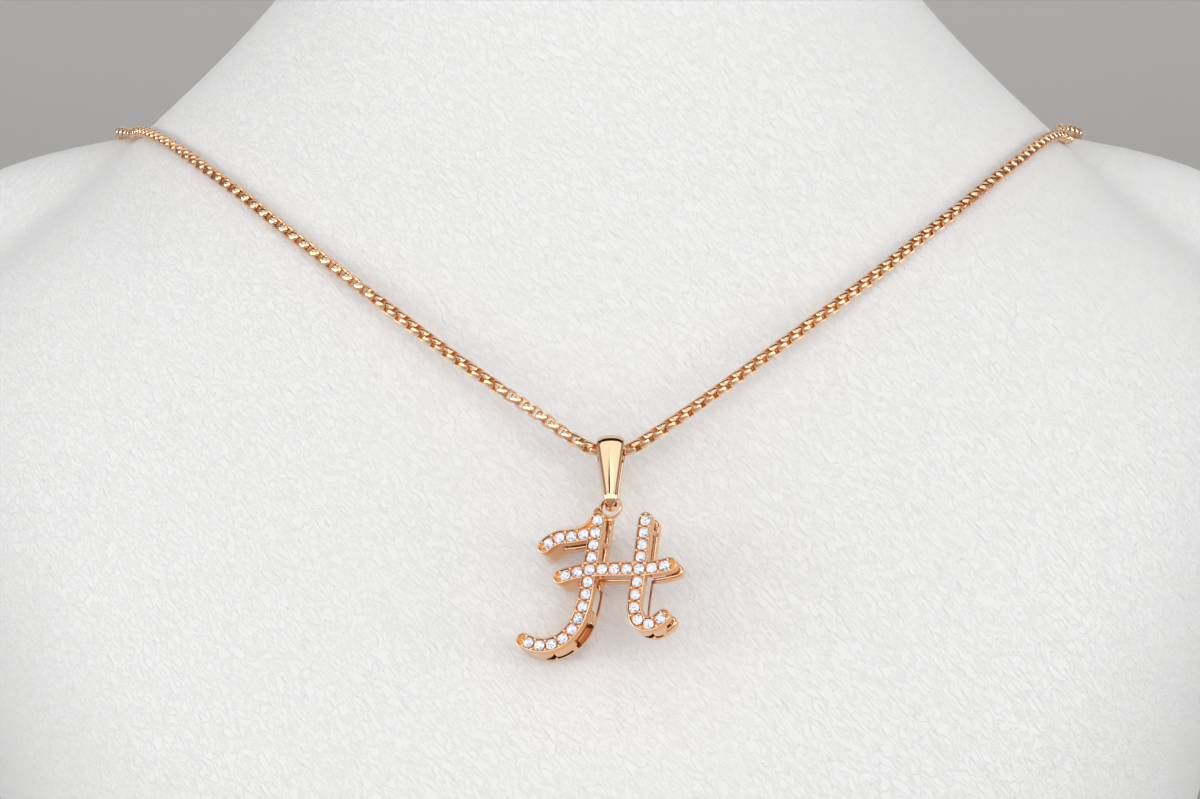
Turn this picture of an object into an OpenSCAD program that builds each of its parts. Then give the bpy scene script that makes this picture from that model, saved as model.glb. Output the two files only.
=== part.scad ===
// Pave script letter pendant on a box chain, hung on a plain neck bust.
// Millimetres, +Z up, front of the bust toward -Y, origin in the middle of the foot.

/* [Bust] */
// Height of the bust from its foot to the top of the neck
bust_h = 200; // [170:1:240]
// Width of the shoulder bar, before it blends into the chest
bust_w = 208; // [180:1:250]
// Reach of the chest in front of the neck axis
chest_reach = 83; // [74:0.5:92]
// Reach of the back behind the neck axis
back_reach = 45.5; // [40:0.5:54]
// Thickness of the shoulder bar, front to back
shoulder_d = 56; // [48:1:66]
// Height of the shoulder bar
shoulder_h = 62; // [54:1:70]
// Distance of the shoulder bar behind the neck axis
shoulder_back = 14; // [8:0.5:18]
// Distance of the neck axis behind the middle of the foot
axis_back = 17.4; // [0:0.1:30]
// Radius of the worn edge round the foot and the neck top
edge_r = 2.5; // [1:0.1:5]

/* [Chain] */
// Thickness of the box chain over its flats
chain_d = 1.4; // [1:0.05:1.7]
// Length of the barrel clasp
clasp_l = 8; // [6:0.5:12]
// Diameter of the barrel clasp
clasp_d = 2.8; // [2:0.1:3.4]

/* [Bail] */
// Distance from the chain to the ring wire that hangs in the bail
bail_l = 7.05; // [5:0.1:9]
// Width of the bail at the chain
bail_top_w = 3.45; // [2.6:0.05:4.2]
// Width of the bail at the ring
bail_low_w = 1.6; // [1:0.05:1.8]
// Wall of the bail at its edges
bail_wall = 0.3; // [0.25:0.01:0.45]
// Height of the dome on the bail's front at the chain
bail_crown = 0.62; // [0.4:0.01:0.8]
// Free space round the chain in the bail
chain_gap = 0.36; // [0.34:0.01:0.6]
// Free space round the ring wire in the bail
wire_gap = 0.15; // [0.1:0.01:0.25]
// Turn of the bail about its own length
bail_turn = -2; // [-10:0.5:10]

/* [Letter] */
// Width of the letter over its strokes
letter_w = 20.9; // [18:0.1:25]
// Height of the letter over its strokes
letter_h = 17.6; // [15:0.1:21]
// Width of a stroke
stroke_w = 1.85; // [1.7:0.01:2.1]
// Depth of the whole letter, front to back
letter_d = 3.8; // [3.2:0.1:5]
// Thickness of the stone plate
plate_t = 1.2; // [1:0.05:1.4]
// Thickness of the open frame behind it
frame_t = 1.3; // [0.8:0.05:1.5]
// Wall of the open frame
frame_wall = 0.4; // [0.25:0.01:0.5]
// Width of the raised rim round the stones
rim_w = 0.16; // [0.1:0.01:0.2]
// Height of the rim and of the beads
rim_h = 0.18; // [0.1:0.01:0.25]
// Diameter of the posts between plate and frame
post_d = 0.7; // [0.5:0.05:0.9]
// Free space between the letter's back and the chest, at its nearest corner
rest_gap = 0.15; // [0.1:0.05:1]
// Turn of the letter about its own height
letter_turn = -19; // [-25:0.5:10]
// Outside diameter of the soldered ring
ring_d = 2.95; // [2.6:0.05:3.4]
// Wall of the soldered ring
ring_wall = 0.33; // [0.25:0.01:0.45]
// Length of the soldered ring, front to back
ring_l = 0.9; // [0.7:0.05:1.1]
// Depth of the ring's middle behind the stone plate's face
ring_depth = 1.6; // [1:0.05:2.2]
// Direction from the end of the left stem to the ring, from level
ring_bearing = 56; // [30:1:90]

/* [Stones] */
// Diameter of a stone
stone_d = 1.35; // [1.1:0.01:1.4]
// Least space between two stones in a row
stone_gap = 0.2; // [0.1:0.01:0.25]
// Free space round a stone in its seat
seat_gap = 0.02; // [0.01:0.005:0.04]
// Depth of a seat below the rim's foot
seat_t = 0.45; // [0.3:0.01:0.6]
// Diameter of the hole behind a seat
drill_d = 0.7; // [0.4:0.05:0.9]
// Diameter of a bead that holds the stones
bead_d = 0.32; // [0.2:0.01:0.36]
// Height of a stone's crown
crown_h = 0.21; // [0.12:0.01:0.26]
// Depth of a stone's pavilion
pavilion_h = 0.56; // [0.4:0.01:0.65]
// Thickness of a stone's girdle
girdle_t = 0.04; // [0.02:0.01:0.08]

/* [Hidden] */
chain_r = chain_d / 2;
ring_r = ring_d / 2;
wire_r = ring_r - ring_wall / 2;
half_stroke = stroke_w / 2;
axis = [0, axis_back, 0];

// Sections of neck and chest: height, half width, chest reach, back reach,
// as shares of bust_h, bust_w / 2, chest_reach and back_reach
BUST_SECTIONS = [
    [0.00, 0.711, 0.940, 0.835],
    [0.12, 0.755, 0.988, 0.880],
    [0.24, 0.812, 1.000, 0.923],
    [0.33, 0.861, 0.964, 0.956],
    [0.42, 0.909, 0.894, 0.989],
    [0.50, 0.937, 0.814, 1.000],
    [0.58, 0.928, 0.735, 0.989],
    [0.65, 0.861, 0.666, 0.945],
    [0.71, 0.731, 0.610, 0.868],
    [0.76, 0.631, 0.567, 0.791],
    [0.81, 0.531, 0.532, 0.736],
    [0.86, 0.445, 0.504, 0.703],
    [0.92, 0.375, 0.472, 0.681],
    [1.00, 0.337, 0.446, 0.670]
];
// Middle height of the shoulder bar as a share of bust_h
shoulder_mid = 0.615;
// Roundness of the plan of the chest, of the bar's end and of the blend between them
plan_power = 2.15;
bar_power = 3.6;
blend_power = 9;
bust_columns = 64;
bust_rows = 40;

// Route of the chain from the clasp round the right side, the pendant and the left side:
// bearing from the front, height, distance of the chain's middle from the bust
CHAIN_ROUTE = [
    [169, 129.5, 1.3],
    [160, 130.0, 0.9],
    [149, 131.2, 0.9],
    [138, 133.5, 0.9],
    [127, 137.4, 0.9],
    [119, 142.0, 0.9],
    [113, 146.8, 0.9],
    [109, 149.7, 1.1],
    [104, 151.4, 1.2],
    [99, 151.8, 1.4],
    [94.5, 151.7, 2.1],
    [90, 151.0, 2.3],
    [85, 149.9, 1.9],
    [80, 149.3, 1.1],
    [75, 149.4, 0.9],
    [67, 147.6, 0.9],
    [57.8, 143.6, 0.9],
    [50.9, 139.6, 0.9],
    [42.6, 134.2, 0.9],
    [35.3, 128.8, 1.3],
    [28.5, 123.7, 1.8],
    [22, 118.8, 2.4],
    [15.9, 114.1, 3.0],
    [10, 109.5, 3.6],
    [6.3, 106.6, 4.1],
    [3.4, 104.45, 4.6],
    [1.3, 104.2, 4.7],
    [-0.6, 104.4, 4.6],
    [-3.2, 106.1, 4.2],
    [-6.8, 109.1, 3.7],
    [-12.6, 113.5, 3.1],
    [-18.7, 118.1, 2.4],
    [-25.1, 123.0, 1.9],
    [-31.8, 128.0, 1.4],
    [-39, 133.2, 1.0],
    [-46.8, 138.5, 0.9],
    [-52.8, 142.1, 0.9],
    [-59.9, 145.6, 0.9],
    [-67, 148.2, 0.9],
    [-75, 149.9, 0.9],
    [-82, 150.3, 1.1],
    [-88, 150.5, 1.5],
    [-94, 151.2, 1.6],
    [-99, 151.8, 1.3],
    [-104, 151.4, 1.1],
    [-109, 149.7, 1.1],
    [-113, 146.8, 0.9],
    [-119, 142.0, 0.9],
    [-127, 137.4, 0.9],
    [-138, 133.5, 0.9],
    [-149, 131.2, 0.9],
    [-160, 130.0, 0.9],
    [-169, 129.5, 1.3]
];
// Place of the pendant in that list
apex_index = 26;
chain_sides = 8;

// Strokes of the letter: points from each stroke's start, shares of the width and height
// between the outermost stroke centres
STEM = [[0.057, 0.419], [0.042, 0.305], [0, 0], [-0.037, -0.254], [-0.100, -0.444],
    [-0.215, -0.565], [-0.346, -0.581], [-0.456, -0.523]];
BAR = [[-0.200, -0.031], [-0.121, -0.011], [0, 0], [0.173, -0.016], [0.340, -0.038],
    [0.451, -0.041], [0.549, -0.030]];
RIGHT = [[0.047, 0.406], [0.026, 0.229], [0, 0], [-0.029, -0.229], [-0.033, -0.340],
    [0.003, -0.440], [0.071, -0.463], [0.125, -0.440], [0.160, -0.410]];
FLOURISH = [[0, 0], [-0.084, -0.003], [-0.173, -0.008], [-0.250, -0.007], [-0.310, -0.030],
    [-0.353, -0.066]];
// Plain metal beyond the last stone at each stroke end, as a share of the stroke width
PAD_STEM_TOP = 0.10;
PAD_TAIL = 0.40;
PAD_BAR_LEFT = 0.33;
PAD_BAR_RIGHT = 0.37;
PAD_RIGHT_TOP = 0.08;
PAD_CURL = 0.22;
PAD_FLOURISH = 0.30;
curve_steps = 5;
cap_steps = 7;

// Linear blend between two values
function mix(a, b, t) = a + (b - a) * t;
// Cubic through b and c with slopes from the neighbours a and d
function cubic(a, b, c, d, t) =
    b + 0.5 * t * (c - a + t * (2 * a - 5 * b + 4 * c - d + t * (3 * (b - c) + d - a)));
function clamp(i, n) = max(0, min(n - 1, i));
function spline(points, i, t) =
    let (n = len(points))
    cubic(points[clamp(i - 1, n)], points[i], points[clamp(i + 1, n)], points[clamp(i + 2, n)], t);
function sample(points, steps) = [
    for (i = [0 : len(points) - 2]) for (k = [0 : steps - 1]) spline(points, i, k / steps),
    points[len(points) - 1]
];

// Section column k at height share h
function section_slope(k, i) =
    let (n = len(BUST_SECTIONS), a = BUST_SECTIONS[clamp(i - 1, n)], b = BUST_SECTIONS[clamp(i + 1, n)])
    (b[k] - a[k]) / (b[0] - a[0]);
function section_at(k, h, i = 0) =
    (i < len(BUST_SECTIONS) - 2 && h > BUST_SECTIONS[i + 1][0]) ? section_at(k, h, i + 1)
    : let (
        a = BUST_SECTIONS[i],
        b = BUST_SECTIONS[i + 1],
        w = b[0] - a[0],
        t = max(0, min(1, (h - a[0]) / w))
    )
    (2 * t ^ 3 - 3 * t ^ 2 + 1) * a[k] + (t ^ 3 - 2 * t ^ 2 + t) * w * section_slope(k, i)
    + (3 * t ^ 2 - 2 * t ^ 3) * b[k] + (t ^ 3 - t ^ 2) * w * section_slope(k, i + 1);

// Reach of neck and chest from the neck axis, at a bearing from the front
function trunk_reach(bearing, z) =
    let (
        h = z / bust_h,
        side = bust_w / 2 * section_at(1, h),
        depth = cos(bearing) > 0 ? chest_reach * section_at(2, h) : back_reach * section_at(3, h)
    )
    ((abs(sin(bearing)) / side) ^ plan_power + (abs(cos(bearing)) / depth) ^ plan_power)
    ^ (-1 / plan_power);
// Reach of the shoulder bar, an ellipse in plan whose middle lies behind the axis
function bar_reach(bearing, z) =
    let (
        up = abs(z - shoulder_mid * bust_h) / (shoulder_h / 2),
        q = max(0, 1 - up ^ bar_power) ^ (1 / bar_power),
        a = bust_w / 2 * q + 0.001,
        b = shoulder_d / 2 * q + 0.001,
        u = -cos(bearing),
        qa = (sin(bearing) / a) ^ 2 + (u / b) ^ 2,
        qb = -2 * u * shoulder_back / b ^ 2,
        qc = (shoulder_back / b) ^ 2 - 1,
        inside = qb ^ 2 - 4 * qa * qc
    )
    inside > 0 ? max(0, (-qb + sqrt(inside)) / (2 * qa)) : 0;
function bust_reach(bearing, z) =
    (trunk_reach(bearing, z) ^ blend_power + bar_reach(bearing, z) ^ blend_power) ^ (1 / blend_power);
function bust_point(bearing, z, inset = 0) =
    let (r = bust_reach(bearing, z) - inset)
    axis + [r * sin(bearing), -r * cos(bearing), z];
function bust_normal(bearing, z) =
    let (
        across = bust_point(bearing + 0.1, z) - bust_point(bearing - 0.1, z),
        along = bust_point(bearing, z + 0.1) - bust_point(bearing, z - 0.1),
        n = cross(across, along)
    )
    n / norm(n);
// Point over the bust's surface: bearing, height, distance
function over_bust(place) = bust_point(place[0], place[1]) + place[2] * bust_normal(place[0], place[1]);

// Heights of the bust's rows with the inset of the rounded edge
bust_levels = concat(
    [[0, edge_r * 0.6], [edge_r * 0.3, edge_r * 0.15]],
    [for (i = [0 : bust_rows]) [mix(edge_r, bust_h - edge_r, i / bust_rows), 0]],
    [[bust_h - edge_r * 0.5, edge_r * 0.15], [bust_h - edge_r * 0.12, edge_r * 0.5], [bust_h, edge_r]]
);

// Closed skin over a grid of rings, each a list of points turning the same way
module skin(rings) {
    n = len(rings[0]);
    m = len(rings);
    polyhedron(
        points = [for (ring = rings) each ring],
        faces = concat(
            [for (i = [0 : m - 2]) for (k = [0 : n - 1])
                [i * n + k, (i + 1) * n + (k + 1) % n, (i + 1) * n + k]],
            [for (i = [0 : m - 2]) for (k = [0 : n - 1])
                [i * n + k, i * n + (k + 1) % n, (i + 1) * n + (k + 1) % n]],
            [[for (k = [n - 1 : -1 : 0]) k]],
            [[for (k = [0 : n - 1]) (m - 1) * n + k]]
        )
    );
}

module bust() {
    color("whitesmoke") skin([
        for (level = bust_levels) [
            for (k = [bust_columns - 1 : -1 : 0])
                bust_point(360 * k / bust_columns, level[0], level[1])
        ]
    ]);
}

// Chain: a tube with flats along the route, whose rings stand square to it.
// Its ends stop at the clasp, which bridges the gap at the back.
clasp_end_gap = 0.1;
clasp_bearing = 180 - atan2(clasp_l / 2 + clasp_end_gap, back_reach);
clasp_z = CHAIN_ROUTE[0][1] - 0.2;
clasp_rise = clasp_d / 2 + 0.5;
full_route = concat(
    [[clasp_bearing, clasp_z, clasp_rise]], CHAIN_ROUTE, [[-clasp_bearing, clasp_z, clasp_rise]]
);
// A long step of the route takes one more ring halfway
long_step = 8.2;
chain_points = [
    for (i = [0 : len(full_route) - 2])
        let (step = norm(over_bust(full_route[i + 1]) - over_bust(full_route[i])))
        for (t = step > long_step ? [0, 0.5] : [0])
            over_bust(spline(full_route, i, t)),
    over_bust(full_route[len(full_route) - 1])
];
function unit(v) = v / norm(v);
function along_chain(i) =
    let (n = len(chain_points))
    unit(chain_points[clamp(i + 1, n)] - chain_points[clamp(i - 1, n)]);
module chain() {
    color("rosybrown") skin([
        for (i = [0 : len(chain_points) - 1])
            let (t = along_chain(i), side = unit(cross([0, 0, 1], t)), up = cross(t, side))
            [for (k = [0 : chain_sides - 1])
                let (a = -360 * (k + 0.5) / chain_sides)
                chain_points[i] + chain_r * (cos(a) * side + sin(a) * up)]
    ]);
}

// Barrel clasp in the gap at the back
clasp_taper = 0.36;
clasp_end_d = 0.6 * clasp_d;
module clasp() {
    start = chain_points[0];
    stop = chain_points[len(chain_points) - 1];
    color("rosybrown")
    translate((start + stop) / 2)
    rotate([0, 90, 0])
    rotate_extrude($fn = 48)
        polygon([
            [0, -clasp_l / 2],
            [clasp_end_d / 2, -clasp_l / 2],
            [clasp_d / 2, -clasp_l * clasp_taper],
            [clasp_d / 2, clasp_l * clasp_taper],
            [clasp_end_d / 2, clasp_l / 2],
            [0, clasp_l / 2]
        ]);
}

// Letter: its own frame has the middle of the ring at the origin, X to the right,
// Y up and Z to the front. Its strokes come first, because the pose follows from them.
solder = 0.15;
face_z = ring_depth;
back_z = face_z - letter_d;
function scaled(points, start) = [
    for (p = points) start + [p[0] * (letter_w - stroke_w), p[1] * (letter_h - stroke_w)]
];
to_ring = half_stroke + ring_r - solder;
stem_top = -to_ring * [cos(ring_bearing), sin(ring_bearing)];
left_crossing = stem_top - scaled([STEM[0]], [0, 0])[0];

// A stroke is a fine line with the length run from its start to each point
function lengths(points) = [
    for (i = 0, s = 0; i < len(points);
        i = i + 1, s = s + (i < len(points) ? norm(points[i] - points[i - 1]) : 0)) s
];
function stroke(points, start) =
    let (line = sample(scaled(points, start), curve_steps))
    [line, lengths(line)];
function stroke_length(line) = line[1][len(line[1]) - 1];
function run_index(runs, s, i = 0) =
    (i < len(runs) - 2 && runs[i + 1] < s) ? run_index(runs, s, i + 1) : i;
function at_length(line, s) =
    let (i = run_index(line[1], s), t = (s - line[1][i]) / (line[1][i + 1] - line[1][i]))
    mix(line[0][i], line[0][i + 1], t);
function heading(line, s) =
    let (d = at_length(line, s + 0.05) - at_length(line, s - 0.05)) d / norm(d);
function beside(line, s, d) = let (h = heading(line, s)) at_length(line, s) + d * [-h[1], h[0]];
// Length at a control point
function length_at(line, index) = line[1][index * curve_steps];

stem = stroke(STEM, left_crossing);
bar = stroke(BAR, left_crossing);
right_crossing = bar[0][4 * curve_steps];
right = stroke(RIGHT, right_crossing);

// Rows of stones: stroke, length at the stone they start from, length at the last, end pad
function row_count(row) = floor(abs(row[2] - row[1]) / (stone_d + stone_gap));
function row_length(row, k) = mix(row[1], row[2], k / row_count(row));
function row_to_start(line, index, pad) = [line, length_at(line, index), pad * stroke_w, pad];
function row_to_end(line, from, pad) = [line, from, stroke_length(line) - pad * stroke_w, pad];
stem_up = row_to_start(stem, 2, PAD_STEM_TOP);
stem_down = row_to_end(stem, length_at(stem, 2), PAD_TAIL);
bar_left = row_to_start(bar, 2, PAD_BAR_LEFT);
bar_mid = [bar, length_at(bar, 2), length_at(bar, 4), 0];
bar_right = row_to_end(bar, length_at(bar, 4), PAD_BAR_RIGHT);
right_up = row_to_start(right, 2, PAD_RIGHT_TOP);
right_down = row_to_end(right, length_at(right, 2), PAD_CURL);
// The flourish leaves the stem at the stem's second stone
flourish_start = at_length(stem, row_length(stem_up, row_count(stem_up) - 1));
flourish = stroke(FLOURISH, flourish_start);
flourish_row = row_to_end(flourish, 0, PAD_FLOURISH);
rows = [stem_up, stem_down, bar_left, bar_mid, bar_right, right_up, right_down, flourish_row];
stone_places = concat(
    [left_crossing],
    [for (row = rows) for (k = [1 : row_count(row)]) at_length(row[0], row_length(row, k))]
);

// Pose: bail and letter hang from the lowest point of the chain and lie along the chest.
// The bail leans further than the chest, so that the letter's nearest back corner just clears it.
apex_place = CHAIN_ROUTE[apex_index];
apex = over_bust(apex_place);
chest_high = bust_point(apex_place[0], apex_place[1]);
chest_low = bust_point(apex_place[0], apex_place[1] - bail_l - letter_h);
chest_lean = atan2(chest_high[1] - chest_low[1], chest_high[2] - chest_low[2]);
letter_left = at_length(stem, stroke_length(stem))[0] - half_stroke;
letter_right = letter_left + letter_w;
letter_reach =
    max(letter_left * sin(letter_turn), letter_right * sin(letter_turn)) - back_z * cos(letter_turn);
bail_lean = chest_lean + asin((letter_reach + rest_gap - apex_place[2]) / bail_l);
function leaned(lean, v) =
    [v[0], v[1] * sin(lean) - v[2] * cos(lean), v[1] * cos(lean) + v[2] * sin(lean)];
ring_top = apex + leaned(bail_lean, [0, -bail_l, 0]);
module letter_frame() {
    translate(ring_top + leaned(chest_lean, [0, -wire_r, 0]))
    rotate([90 - chest_lean, 0, 0]) rotate([0, letter_turn, 0]) children();
}

// Bail: a domed leaf bent into a closed loop, round the chain above and the ring wire below.
// Its own frame has X across, Y up toward the chain and Z to the front.
module bail_frame() {
    translate(apex) rotate([90 - bail_lean, 0, 0]) rotate([0, bail_turn, 0]) children();
}
bail_top_r = chain_r + chain_gap;
// The ring's inner edge beside the bail comes closest when the letter swings
ring_twist = abs(letter_turn - bail_turn);
edge_x = bail_low_w / 2 / cos(ring_twist) + ring_l / 2 * tan(ring_twist);
edge_z = edge_x * sin(ring_twist) + ring_l / 2 * cos(ring_twist);
edge_y = wire_r - sqrt((ring_r - ring_wall) ^ 2 - edge_x ^ 2);
bail_low_r = norm([edge_z, edge_y]) + wire_gap;
bail_taper = asin((bail_top_r - bail_low_r) / bail_l);
// Width of the bail's lowest point and of its back leaf, as shares of the width beside it
keel_share = 0.2;
back_share = 1.04;
keel_angle = 50;
// Width of the bail's highest point as a share of the width in front of it
crest_share = 0.84;
crest_angle = 50;
leaf_steps = 8;
inner_steps = 6;
inner_share = 0.78;
dome_power = 0.5;
// Stations of the loop: direction of the normal from the front, distance down the bail
bail_stations = concat(
    [for (a = [-bail_taper : (180 + 2 * bail_taper) / 16 : 180 + bail_taper - 1]) [a, 0]],
    [for (i = [0 : 6]) [180 + bail_taper, i / 7]],
    [for (a = [180 + bail_taper : (180 - 2 * bail_taper) / 14 : 360 - bail_taper - 1]) [a, 1]],
    [for (i = [0 : 6]) [360 - bail_taper, 1 - i / 7]]
);
function leaf_width(a, down) =
    let (
        low = abs(a - 270),
        keel = down == 1 && low < keel_angle ? mix(keel_share, 1, low / keel_angle) : 1,
        back = a > 90 && a < 270 ? mix(1, back_share, min(1, (90 - abs(a - 180)) / 45)) : 1,
        crest = down == 0 ? mix(1, crest_share, max(0, 1 - abs(a - 90) / crest_angle) ^ 0.7) : 1
    )
    mix(bail_top_w, bail_low_w, down) * keel * back * crest;
function leaf_section(a, down) =
    let (
        w = leaf_width(a, down),
        r = mix(bail_top_r, bail_low_r, down),
        crown = bail_crown * sqrt(w / bail_top_w)
    )
    [
        for (k = [0 : leaf_steps])
            let (x = sin(180 * k / leaf_steps - 90))
            [x * w / 2, r + bail_wall + crown * (1 - x * x) ^ dome_power],
        [w / 2, r],
        for (k = [inner_steps : -1 : 0])
            let (x = sin(180 * k / inner_steps - 90))
            [x * w / 2 * inner_share, r + crown * (1 - x * x) ^ dome_power],
        [-w / 2, r]
    ];
module bail() {
    rings = [
        for (s = bail_stations) [
            for (q = leaf_section(s[0], s[1]))
                [q[0], q[1] * sin(s[0]) - s[1] * bail_l, q[1] * cos(s[0])]
        ]
    ];
    n = len(rings[0]);
    m = len(rings);
    color("rosybrown") bail_frame()
    polyhedron(
        points = [for (ring = rings) each ring],
        faces = concat(
            [for (i = [0 : m - 1]) for (k = [0 : n - 1])
                [i * n + k, (i + 1) % m * n + (k + 1) % n, i * n + (k + 1) % n]],
            [for (i = [0 : m - 1]) for (k = [0 : n - 1])
                [i * n + k, (i + 1) % m * n + k, (i + 1) % m * n + (k + 1) % n]]
        )
    );
}

// Outline of a stroke between two lengths, with round ends
outline_steps = 22;
function turned(a, r) = r * [cos(a), sin(a)];
function cap(centre, a, r) =
    [for (k = [1 : cap_steps - 1]) centre + turned(a - 90 + 180 * k / cap_steps, r)];
function stroke_outline(line, from, to, r) =
    let (
        s = [for (i = [0 : outline_steps]) mix(from, to, i / outline_steps)],
        ahead = heading(line, to),
        behind = -heading(line, from)
    )
    concat(
        [for (v = s) beside(line, v, -r)],
        cap(at_length(line, to), atan2(ahead[1], ahead[0]), r),
        [for (i = [outline_steps : -1 : 0]) beside(line, s[i], r)],
        cap(at_length(line, from), atan2(behind[1], behind[0]), r)
    );

// Strokes with the metal kept at their start and end in the open frame, as shares of the stroke width
STROKES = [[stem, 0.5, 0.5], [bar, 0.5, 0.5], [right, 0.5, 0.5], [flourish, 0, 0.5]];
module strokes(r, open = 0) {
    for (s = STROKES)
        let (from = open * s[1] * stroke_w, to = stroke_length(s[0]) - open * s[2] * stroke_w)
        polygon(stroke_outline(s[0], from, to, r));
}

// Hollow curve that fills the corner between the top of the stem and the flourish
web_l = 1.7 * stroke_w;
web_steps = 6;
module web() {
    high = beside(stem, 0.05 * stroke_w, -0.96 * half_stroke);
    low = beside(flourish, web_l, -half_stroke);
    corner = flourish_start + half_stroke * [-1.1, 1.25];
    polygon(concat(
        [for (k = [0 : web_steps])
            let (t = k / web_steps) mix(mix(high, corner, t), mix(corner, low, t), t)],
        [at_length(flourish, web_l), flourish_start, stem_top]
    ));
}
module outline() {
    strokes(half_stroke);
    web();
}

// Beads in the gaps between stones and round the last stone of each row
bead_side = 0.3 * stroke_w;
bead_space = (stone_d + bead_d) / 2 + 2 * seat_gap;
bead_turn = 48;
// A pad longer than this share of the stroke width takes one more bead
long_pad = 0.25;
module beads() {
    for (row = rows) {
        for (k = [1 : row_count(row)])
            for (side = [-1, 1])
                translate(beside(row[0], row_length(row, k - 0.5), side * bead_side))
                circle(d = bead_d, $fn = 24);
        out = row[2] > row[1] ? 1 : -1;
        h = out * heading(row[0], row[2]);
        for (a = row[3] > long_pad ? [-bead_turn, 0, bead_turn] : row[3] > 0 ? [-bead_turn, bead_turn] : [])
            translate(at_length(row[0], row[2]) + turned(atan2(h[1], h[0]) + a, bead_space))
            circle(d = bead_d, $fn = 24);
    }
}

// Plate that holds the stones: drilled foot, seats, then rim and beads
module plate() {
    translate([0, 0, face_z - plate_t])
    linear_extrude(plate_t - rim_h - seat_t)
    difference() {
        outline();
        for (p = stone_places) translate(p) circle(d = drill_d, $fn = 32);
    }
    translate([0, 0, face_z - rim_h - seat_t])
    linear_extrude(seat_t)
    difference() {
        outline();
        for (p = stone_places) translate(p) circle(d = stone_d + 2 * seat_gap, $fn = 48);
    }
    translate([0, 0, face_z - rim_h])
    linear_extrude(rim_h) {
        difference() {
            outline();
            strokes(half_stroke - rim_w);
        }
        beads();
    }
}

// Open frame behind the plate
module frame() {
    translate([0, 0, back_z])
    linear_extrude(frame_t)
    difference() {
        outline();
        strokes(half_stroke - frame_wall, 1);
    }
}

// Posts, a bridge and closed ends between plate and frame.
// Posts: stroke, share of its length, distance beside its middle as a share of the stroke width
POSTS = [[right, 0.06, 0.22], [stem, 0.14, 0.22], [stem, 0.52, 0.14], [bar, 0.93, 0], [right, 0.95, 0]];
// Filled stretches: stroke, shares of its length where the filling starts and ends
FILLINGS = [[stem, 0.79, 0.84], [stem, 0.88, 1], [flourish, 0.82, 1], [bar, 0, 0.07]];
module posts() {
    translate([0, 0, back_z + frame_t / 2])
    linear_extrude(letter_d - plate_t / 2 - frame_t / 2 - rim_h - seat_t / 2)
    for (p = POSTS)
        translate(beside(p[0], p[1] * stroke_length(p[0]), p[2])) circle(d = post_d, $fn = 32);
}
module fillings() {
    translate([0, 0, back_z + frame_t])
    linear_extrude(letter_d - plate_t - frame_t)
    for (f = FILLINGS)
        let (l = stroke_length(f[0]), from = f[1] * l, to = f[2] * l)
        polygon(f[1] > 0 && f[2] < 1
            ? [beside(f[0], from, -half_stroke), beside(f[0], to, -half_stroke),
                beside(f[0], to, half_stroke), beside(f[0], from, half_stroke)]
            : stroke_outline(f[0], from, to, half_stroke));
}

// Ring soldered to the plate, with a saddle that joins it to the frame
saddle_bearing = 250;
saddle_w = 0.5 * stroke_w;
saddle_l = 0.65 * stroke_w;
module ring() {
    difference() {
        translate([0, 0, -ring_l / 2]) cylinder(r = ring_r, h = ring_l, $fn = 64);
        translate([0, 0, -ring_l]) cylinder(r = ring_r - ring_wall, h = 2 * ring_l, $fn = 64);
    }
    rotate([0, 0, saddle_bearing])
    translate([ring_r - ring_wall, -saddle_w / 2, back_z])
    cube([saddle_l, saddle_w, ring_l / 2 - back_z - ring_wall]);
}
module letter() {
    color("rosybrown") letter_frame() {
        plate();
        frame();
        posts();
        fillings();
        ring();
    }
}

// Round stone: eight-sided table, crown, girdle and a pointed pavilion
table_share = 0.56;
facets = 8;
module stone(place) {
    r = stone_d / 2;
    table = [for (k = [0 : facets - 1]) concat(turned(360 * k / facets, r * table_share), crown_h)];
    girdle = [for (k = [0 : 2 * facets - 1]) turned(180 * k / facets, r)];
    n = 2 * facets;
    top = facets;
    low = facets + n;
    color("aliceblue") letter_frame()
    translate([place[0], place[1], face_z - rim_h])
    polyhedron(
        points = concat(
            table,
            [for (p = girdle) concat(p, 0)],
            [for (p = girdle) concat(p, -girdle_t)],
            [[0, 0, -girdle_t - pavilion_h]]
        ),
        faces = concat(
            [[for (k = [facets - 1 : -1 : 0]) k]],
            [for (k = [0 : facets - 1]) let (g = top + 2 * k, h = top + (2 * k + 2) % n) each [
                [k, g + 1, g],
                [k, (k + 1) % facets, g + 1],
                [(k + 1) % facets, h, g + 1]
            ]],
            [for (k = [0 : n - 1]) let (j = (k + 1) % n) each [
                [top + k, top + j, low + j],
                [top + k, low + j, low + k]
            ]],
            [for (k = [0 : n - 1]) [low + k, low + (k + 1) % n, low + n]]
        )
    );
}

function stone_name(i) = str("stone_", i < 9 ? "0" : "", i + 1);

bust();
chain();
clasp();
bail();
letter();
for (i = [0 : len(stone_places) - 1])
    stone(stone_places[i]);
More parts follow.
